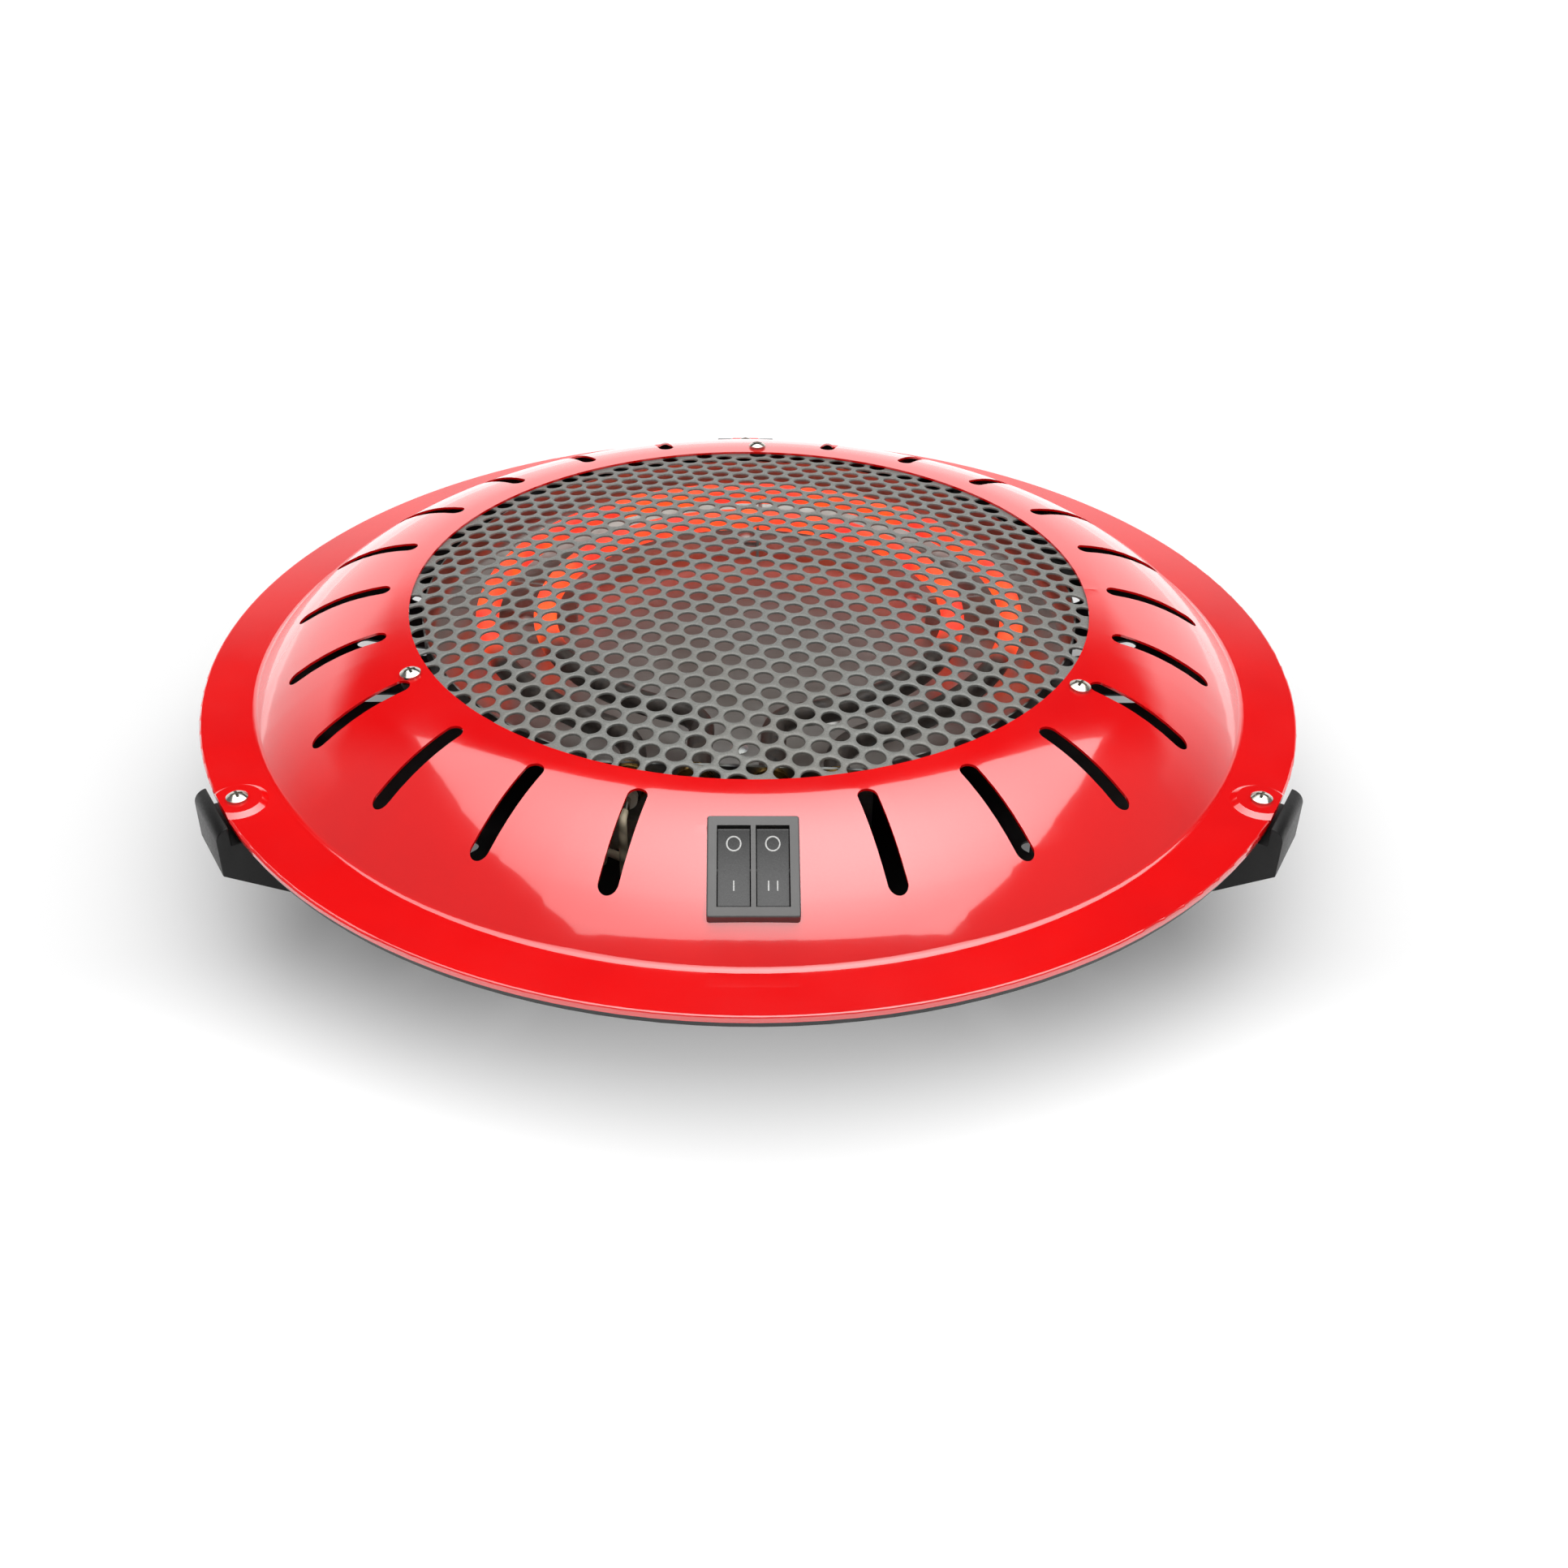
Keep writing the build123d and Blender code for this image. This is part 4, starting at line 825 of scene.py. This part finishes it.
    def trim(self, sheet: bpy.types.Object) -> None:
        """Cut the sheet to a round of cells and draw its edge to a circle.

        Args:
            sheet: the flat sheet of cells.
        """
        radius = np.hypot(*coordinates(sheet)[:, :2].T)
        beyond = np.zeros(len(sheet.data.polygons), bool)
        for face in sheet.data.polygons:
            beyond[face.index] = radius[list(face.vertices)].min() > self.edge_radius - self.edge_spare
        begin(sheet)
        bpy.ops.mesh.select_all(action="DESELECT")
        bpy.ops.mesh.select_mode(type="FACE")
        end()
        sheet.data.polygons.foreach_set("select", beyond)
        bpy.ops.object.mode_set(mode="EDIT")
        bpy.ops.mesh.delete(type="FACE")
        bpy.ops.mesh.select_mode(type="VERT")
        end()
        spots = coordinates(sheet)
        radius = np.hypot(*spots[:, :2].T)
        over = radius > self.edge_radius
        spots[over, :2] *= (self.edge_radius / radius[over])[:, None]
        sheet.data.vertices.foreach_set("co", spots.ravel())
        begin(sheet)
        bpy.ops.mesh.remove_doubles(threshold=self.edge_weld)
        bpy.ops.mesh.dissolve_degenerate(threshold=self.sliver)
        bpy.ops.mesh.delete_loose()
        end()

    def raise_dome(self, sheet: bpy.types.Object) -> None:
        """Press the flat sheet into its dome."""
        spots = coordinates(sheet)
        spots[:, 2] = self.height(np.hypot(*spots[:, :2].T))
        sheet.data.vertices.foreach_set("co", spots.ravel())
        sheet.data.update()

    def thicken(self, sheet: bpy.types.Object) -> None:
        """Give the sheet its thickness, and round the upper edges of the holes as punching does.

        Args:
            sheet: the domed sheet, one face thick.
        """
        begin(sheet)
        bpy.ops.mesh.normals_make_consistent(inside=False)
        end()
        if sum(face.normal.z for face in sheet.data.polygons) < 0:
            begin(sheet)
            bpy.ops.mesh.flip_normals()
            end()
        apply_modifier(sheet, "SOLIDIFY", thickness=self.sheet, offset=-1.0)
        mesh = sheet.data
        # a hole's upper edge lies between one face that looks up and one that looks sideways
        looks_up, looks_aside = 0.8, 0.3
        up = {}
        for face in mesh.polygons:
            for key in face.edge_keys:
                up.setdefault(key, []).append(face.normal.z)
        sharp = {
            key
            for key, z in up.items()
            if len(z) == 2 and max(z) > looks_up and abs(min(z, key=abs)) < looks_aside
        }
        radius = np.hypot(*coordinates(sheet)[:, :2].T)
        begin(sheet)
        bpy.ops.mesh.select_mode(type="EDGE")
        bpy.ops.mesh.select_all(action="DESELECT")
        end()
        for edge in mesh.edges:
            edge.select = edge.key in sharp and radius[edge.vertices[0]] < self.edge_radius - 1 * MM
        bpy.ops.object.mode_set(mode="EDIT")
        bpy.ops.mesh.bevel(offset=self.hole_round, segments=1, affect="EDGES")
        bpy.ops.mesh.select_mode(type="VERT")
        end()
        smooth(sheet, 50.0)


@dataclass
class BasePan(SubAssembly):
    """The black pan under the cover, with its fixings and the cord gland."""

    finishes: dict = field(
        default_factory=lambda: {
            "base_pan": PAN_ENAMEL,
            "foot_screws": ZINC,
            "cord_gland": FOOT_PLASTIC,
            "gland_nut": FOOT_PLASTIC,
        }
    )


@dataclass
class Feet(SubAssembly):
    """The three moulded feet, whose corners are rounded as a mould leaves them."""

    finishes: dict = field(
        default_factory=lambda: {
            "foot_rear": FOOT_PLASTIC,
            "foot_left": FOOT_PLASTIC,
            "foot_right": FOOT_PLASTIC,
        }
    )
    edge_round: float = 0.9 * MM
    weld: float = 0.002 * MM
    flat_angle: float = math.radians(2.0)
    corner_angle: float = math.radians(28.0)

    def build(self) -> None:
        """Round off a merged copy of each foot."""
        for name in self.finishes:
            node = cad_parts[name]
            foot = bpy.data.objects.new(f"{name}_moulded", node.data.copy())
            bpy.context.scene.collection.objects.link(foot)
            begin(foot)
            bpy.ops.mesh.remove_doubles(threshold=self.weld)
            bpy.ops.mesh.dissolve_limited(angle_limit=self.flat_angle)
            end()
            apply_modifier(
                foot,
                "BEVEL",
                width=self.edge_round,
                segments=3,
                limit_method="ANGLE",
                angle_limit=self.corner_angle,
                use_clamp_overlap=True,
            )
            apply_modifier(foot, "TRIANGULATE")
            smooth(foot, 40.0)
            self.keep(foot, f"{name}_moulded", FOOT_PLASTIC, Body.HEATER)
            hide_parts(name)


@dataclass
class Heating(SubAssembly):
    """The reflector with its two ring elements, their supports and standoffs."""

    finishes: dict = field(
        default_factory=lambda: {
            "reflector": ALUMINIUM,
            "heater_rivets": ALUMINIUM,
            "standoffs": ZINC,
            "standoff_screws": ZINC,
            "outer_element": OUTER_SHEATH,
            "inner_element": INNER_SHEATH,
            "element_pins": NICKEL,
            "element_beads": CERAMIC,
            "element_bushes": BRASS,
            "element_bracket": ZINC,
            "element_supports": ZINC,
        }
    )


@dataclass
class Wiring(SubAssembly):
    """The leads, the terminal block and the thermal cut-out under the reflector."""

    finishes: dict = field(
        default_factory=lambda: {
            "thermal_cutout": CERAMIC,
            "terminal_block": WHITE_PLASTIC,
            "block_screws": BRASS,
            "lead_outer_live": SLEEVE,
            "lead_inner_live": SLEEVE,
            "lead_outer_return": SLEEVE,
            "lead_inner_return": SLEEVE,
            "lead_feed": SLEEVE,
            "lead_common": SLEEVE,
        }
    )


@dataclass
class Switch(SubAssembly):
    """The double rocker switch with its printed signs."""

    finishes: dict = field(
        default_factory=lambda: {
            "switch_housing": SWITCH_PLASTIC,
            "rocker_left": ROCKER_PLASTIC,
            "rocker_right": ROCKER_PLASTIC,
            "plunger_left": WHITE_PLASTIC,
            "plunger_right": WHITE_PLASTIC,
            "contact_lever_left": BRASS,
            "contact_lever_right": BRASS,
            "switch_fulcrums": BRASS,
            "switch_contacts": BRASS,
        }
    )
    tilt: float = math.radians(27.4)
    bay: float = 5.45 * MM
    ring_y: float = -144.0 * MM
    bars_y: float = -154.0 * MM
    ring_radius: float = 1.95 * MM
    line_width: float = 0.4 * MM
    bar_length: float = 3.1 * MM
    bar_gap: float = 2.5 * MM
    film: float = 0.1 * MM
    sunk: float = 0.05 * MM
    # a height over all pieces, and one just over a rocker's face, to look down from
    over_all: float = 120.0 * MM
    over_face: float = 5.0 * MM

    def build(self) -> None:
        """Print each rocker's signs on its face."""
        for side, body, on in (
            (-1, Body.ROCKER_LEFT, Mark.LOW),
            (1, Body.ROCKER_RIGHT, Mark.HIGH),
        ):
            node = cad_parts[body.value]
            ring = self.ring()
            self.lay(ring, node, side * self.bay, self.ring_y)
            self.keep(ring, f"{body.value}_off_ring", INK, body)
            for k in range(on.value):
                shift = (k - (on.value - 1) / 2) * self.bar_gap
                bar = self.bar()
                self.lay(bar, node, side * self.bay + shift, self.bars_y)
                self.keep(bar, f"{body.value}_on_bar_{k + 1}", INK, body)

    def ring(self) -> bpy.types.Object:
        """A flat ring of ink."""
        bpy.ops.object.select_all(action="DESELECT")
        bpy.ops.mesh.primitive_circle_add(vertices=48, radius=self.ring_radius + self.line_width / 2)
        ring = bpy.context.object
        begin(ring)
        bpy.ops.mesh.extrude_region_move()
        share = (self.ring_radius - self.line_width / 2) / (self.ring_radius + self.line_width / 2)
        bpy.ops.transform.resize(value=(share, share, share))
        bpy.ops.mesh.select_all(action="SELECT")
        bpy.ops.mesh.extrude_region_move(TRANSFORM_OT_translate={"value": (0.0, 0.0, self.film)})
        bpy.ops.mesh.select_all(action="SELECT")
        bpy.ops.mesh.normals_make_consistent(inside=False)
        end()
        return ring

    def bar(self) -> bpy.types.Object:
        """A flat bar of ink with rounded ends."""
        half = self.line_width / 2
        bpy.ops.object.select_all(action="DESELECT")
        bpy.ops.mesh.primitive_circle_add(vertices=16, radius=half, fill_type="NGON")
        bar = bpy.context.object
        spots = coordinates(bar)
        spots[:, 1] += np.sign(spots[:, 1].round(7)) * (self.bar_length / 2 - half)
        bar.data.vertices.foreach_set("co", spots.ravel())
        begin(bar)
        bpy.ops.mesh.extrude_region_move(TRANSFORM_OT_translate={"value": (0.0, 0.0, self.film)})
        bpy.ops.mesh.select_all(action="SELECT")
        bpy.ops.mesh.normals_make_consistent(inside=False)
        end()
        return bar

    def lay(self, mark: bpy.types.Object, node: bpy.types.Object, x: float, y: float) -> None:
        """Lay a flat mark on a rocker's curved face.

        Args:
            mark: the mark, made flat at the origin.
            node: the rocker that carries it.
            x: its centre across the switch.
            y: its centre towards the front.
        """
        above = Vector((0.0, -math.sin(self.tilt), math.cos(self.tilt)))
        up_slope = Vector((0.0, math.cos(self.tilt), math.sin(self.tilt)))
        found, middle, _, _ = node.ray_cast(Vector((x, y, self.over_all)), Vector((0.0, 0.0, -1.0)))
        if not found:
            raise RuntimeError(f"no rocker face under {mark.name}")
        spots = coordinates(mark)
        for k, spot in enumerate(spots):
            start = middle + Vector((spot[0], 0.0, 0.0)) + up_slope * spot[1] + above * self.over_face
            hit, place, _, _ = node.ray_cast(start, -above)
            if not hit:
                raise RuntimeError(f"{mark.name} reaches past the rocker's face")
            spots[k] = place + above * (spot[2] - self.sunk)
        mark.data.vertices.foreach_set("co", spots.ravel())
        mark.data.update()


# studio


@dataclass
class Studio:
    """Plain pale floor, one large soft light above, a bright wall behind, and the camera at the
    photograph's angle."""

    image_side: int = 1932
    focal_pixels: float = 2061.7
    centre_pixel: tuple[float, float] = (924.0, 900.0)
    sensor: float = 36.0
    camera_place: tuple[float, float, float] = (-6.106 * MM, -518.325 * MM, 361.172 * MM)
    camera_elevation: float = math.radians(33.072)
    camera_roll: float = math.radians(0.482)
    camera_turn: float = math.radians(-0.75)
    light_size: tuple[float, float] = (2.0, 2.03)
    light_place: tuple[float, float, float] = (0.1, -0.085, 1.25)
    light_power: float = 20.5
    # the mirrored cloth lies above the light, so that it takes nothing from it
    panel_gap: float = 5 * MM
    panel_level: float = 3.0
    panel_middle: float = 5.5
    fill_level: float = 0.5
    # the diffuser is brightest up to the first distance from its middle and fades to the second
    panel_fade: tuple[float, float] = (0.1, 1.1)
    panel_sides: tuple[float, float] = (0.64, 0.88)
    # the wall's top is soft, in degrees above the floor, and it fades out towards both sides, as
    # shares of the way to Y
    wall_level: float = 1.08
    wall_top: tuple[float, float] = (23.0, 30.0)
    wall_sides: tuple[float, float] = (0.25, 0.8)
    room_level: float = 0.2
    gap_level: float = 0.02
    gap_sides: tuple[float, float] = (0.35, 0.6)
    floor_half: float = 6.0
    # how far the seen floor is lit up by itself: each pair of distances has its pair of levels
    near_reach: tuple[float, float] = (0.25, 0.6)
    near_lift: tuple[float, float] = (0.12, 0.5)
    far_reach: tuple[float, float] = (0.6, 2.5)
    far_lift: tuple[float, float] = (0.0, 0.6)
    # painted light: the floor's own glow in an oval before the brazier lightens the near side of its
    # shadow
    painted_light_middle: float = 0.27
    painted_light_squeeze: float = 0.35
    painted_light_reach: tuple[float, float] = (0.085, 0.19)
    painted_light_lift: tuple[float, float] = (0.4, 0.0)

    def camera(self) -> None:
        """Place the camera where the photograph was taken."""
        spin, rise, roll = self.camera_turn, self.camera_elevation, self.camera_roll
        flat = math.cos(rise)
        back = Vector((math.sin(spin) * flat, -math.cos(spin) * flat, math.sin(rise)))
        level = Vector((math.cos(spin), math.sin(spin), 0.0))
        upright = back.cross(level)
        right = level * math.cos(roll) + upright * math.sin(roll)
        up = upright * math.cos(roll) - level * math.sin(roll)
        matrix = Matrix((right, up, back)).transposed().to_4x4()
        matrix.translation = Vector(self.camera_place)
        bpy.ops.object.camera_add()
        camera = bpy.context.object
        camera.name = "photograph_camera"
        camera.matrix_world = matrix
        camera.data.sensor_width = self.sensor
        camera.data.lens = self.focal_pixels / self.image_side * self.sensor
        half = self.image_side / 2
        camera.data.shift_x = (half - self.centre_pixel[0]) / self.image_side
        camera.data.shift_y = (self.centre_pixel[1] - half) / self.image_side
        camera.data.clip_start, camera.data.clip_end = 0.01, 50.0
        bpy.context.scene.camera = camera

    def lamp(self) -> None:
        """One large soft light above the brazier."""
        bpy.ops.object.light_add(type="AREA", location=self.light_place)
        lamp = bpy.context.object
        lamp.name = "overhead_softbox"
        lamp.data.shape = "RECTANGLE"
        lamp.data.size, lamp.data.size_y = self.light_size
        lamp.data.energy = self.light_power
        lamp.visible_glossy = False

    def panel(self) -> None:
        """The light's diffuser as gloss and metal mirror it, brightest in its middle."""
        bpy.ops.object.select_all(action="DESELECT")
        above = Vector(self.light_place) + Vector((0.0, 0.0, self.panel_gap))
        bpy.ops.mesh.primitive_plane_add(size=1.0, location=above)
        panel = bpy.context.object
        panel.name = "softbox_diffuser"
        panel.data.transform(Matrix.Diagonal((*self.light_size, 1.0, 1.0)))
        made = blank("lit_white_diffuser_cloth")
        tree = made.node_tree
        place = add_node(tree, "ShaderNodeTexCoord").outputs["Object"]
        level = fade(tree, place, None, self.panel_fade, (self.panel_middle, self.panel_level))
        across = add_node(tree, "ShaderNodeSeparateXYZ", links={"Vector": place}).outputs["X"]
        tilt = add_node(
            tree,
            "ShaderNodeMapRange",
            inputs=dict(zip(RANGES, (-1.0, 1.0, *self.panel_sides))),
            links={"Value": across},
        ).outputs["Result"]
        strength = add_node(
            tree, "ShaderNodeMath", settings={"operation": "MULTIPLY"}, links={0: level, 1: tilt}
        ).outputs["Value"]
        glow = add_node(tree, "ShaderNodeEmission", links={"Strength": strength})
        clear = add_node(tree, "ShaderNodeBsdfTransparent")
        mirrored = self.ray_share(tree, ("Is Glossy Ray",))
        both = add_node(
            tree,
            "ShaderNodeMixShader",
            links={0: mirrored, 1: clear.outputs["BSDF"], 2: glow.outputs["Emission"]},
        )
        add_node(tree, "ShaderNodeOutputMaterial", links={"Surface": both.outputs["Shader"]})
        panel.data.materials.append(made)

    def ray_share(self, tree: bpy.types.NodeTree, kinds: tuple[str, ...]) -> bpy.types.NodeSocket:
        """1 for rays of the given kinds, and 0 for the rest.

        Args:
            tree: the node tree to work in.
            kinds: the names of Light Path's outputs.

        Returns:
            The value.
        """
        path = add_node(tree, "ShaderNodeLightPath")
        value = path.outputs[kinds[0]]
        for kind in kinds[1:]:
            value = add_node(
                tree,
                "ShaderNodeMath",
                settings={"operation": "MAXIMUM"},
                links={0: value, 1: path.outputs[kind]},
            ).outputs["Value"]
        return value

    def floor(self) -> None:
        """A pale floor that keeps the brazier's shadow, with painted light on the shadow's near side,
        and turns white further off.
        """
        bpy.ops.object.select_all(action="DESELECT")
        bpy.ops.mesh.primitive_plane_add(size=2 * self.floor_half, location=(0.0, 0.0, 0.0))
        floor = bpy.context.object
        floor.name = "studio_floor"
        made = blank("matt_white_studio_floor")
        tree = made.node_tree
        matt = add_node(tree, "ShaderNodeBsdfDiffuse", inputs={"Color": linear("#E4E4E4")})
        seen = self.ray_share(tree, ("Is Camera Ray", "Is Glossy Ray", "Is Transmission Ray"))
        place = add_node(tree, "ShaderNodeTexCoord").outputs["Object"]
        lift = fade(tree, place, None, self.near_reach, self.near_lift)
        # beyond the light's reach the floor is lit up to white by itself
        far = fade(tree, place, None, self.far_reach, self.far_lift)
        lift = add_node(
            tree, "ShaderNodeMath", settings={"operation": "ADD"}, links={0: lift, 1: far}
        ).outputs["Value"]
        # painted light: the floor glows by itself in an oval before the brazier, which lightens the near
        # side of its shadow in place of a light low in front
        drawn = add_node(
            tree,
            "ShaderNodeMapping",
            inputs={
                "Location": (0.0, self.painted_light_middle, 0.0),
                "Scale": (self.painted_light_squeeze, 1.0, 1.0),
            },
            links={"Vector": place},
        ).outputs["Vector"]
        front = fade(tree, drawn, None, self.painted_light_reach, self.painted_light_lift)
        both = add_node(
            tree, "ShaderNodeMath", settings={"operation": "ADD"}, links={0: lift, 1: front}
        ).outputs["Value"]
        share = add_node(
            tree, "ShaderNodeMath", settings={"operation": "MULTIPLY"}, links={0: seen, 1: both}
        ).outputs["Value"]
        glow = add_node(tree, "ShaderNodeEmission", links={"Strength": share})
        both = add_node(
            tree,
            "ShaderNodeAddShader",
            links={0: matt.outputs["BSDF"], 1: glow.outputs["Emission"]},
        )
        add_node(tree, "ShaderNodeOutputMaterial", links={"Surface": both.outputs["Shader"]})
        floor.data.materials.append(made)

    def world(self) -> None:
        """A dim room with a bright wall low behind, a dark gap over it, and white where the camera
        looks."""
        world = bpy.data.worlds.new("studio_room")
        bpy.context.scene.world = world
        world.use_nodes = True
        tree = world.node_tree
        tree.nodes.clear()
        way = add_node(tree, "ShaderNodeTexCoord").outputs["Generated"]
        edge = tuple(math.sin(math.radians(angle)) for angle in self.wall_top)
        top = fade(tree, way, "Z", edge, (1.0, 0.0))
        side = fade(tree, way, "Y", self.wall_sides, (0.0, self.wall_level))
        wall = add_node(
            tree, "ShaderNodeMath", settings={"operation": "MULTIPLY"}, links={0: top, 1: side}
        ).outputs["Value"]
        # the gap between the wall and the softbox is darker than the rest of the room
        room = fade(tree, way, "Y", self.gap_sides, (self.room_level, self.gap_level))
        mirrored = add_node(
            tree, "ShaderNodeMath", settings={"operation": "ADD"}, links={0: wall, 1: room}
        ).outputs["Value"]
        level = add_node(
            tree,
            "ShaderNodeMix",
            settings={"data_type": "FLOAT"},
            inputs={2: self.fill_level},
            links={0: self.ray_share(tree, ("Is Glossy Ray",)), 3: mirrored},
        ).outputs[0]
        strength = add_node(
            tree,
            "ShaderNodeMix",
            settings={"data_type": "FLOAT"},
            inputs={3: 1.0},
            links={0: self.ray_share(tree, ("Is Camera Ray",)), 2: level},
        ).outputs[0]
        light = add_node(
            tree,
            "ShaderNodeBackground",
            inputs={"Color": (1.0, 1.0, 1.0, 1.0)},
            links={"Strength": strength},
        )
        add_node(tree, "ShaderNodeOutputWorld", links={"Surface": light.outputs["Background"]})

    def build(self) -> None:
        """Set up the floor, the light, the room and the camera."""
        self.floor()
        self.lamp()
        self.panel()
        self.world()
        self.camera()
        bpy.context.scene.view_settings.view_transform = "Standard"


def main() -> None:
    """Build and dress the brazier and its studio."""
    logging.basicConfig(level=logging.INFO, format="%(name)s: %(message)s")
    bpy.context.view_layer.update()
    for group in (Cover(), Grille(), BasePan(), Feet(), Heating(), Wiring(), Switch()):
        group.dress()
        group.build()
    Studio().build()


if __name__ == "__main__":
    main()
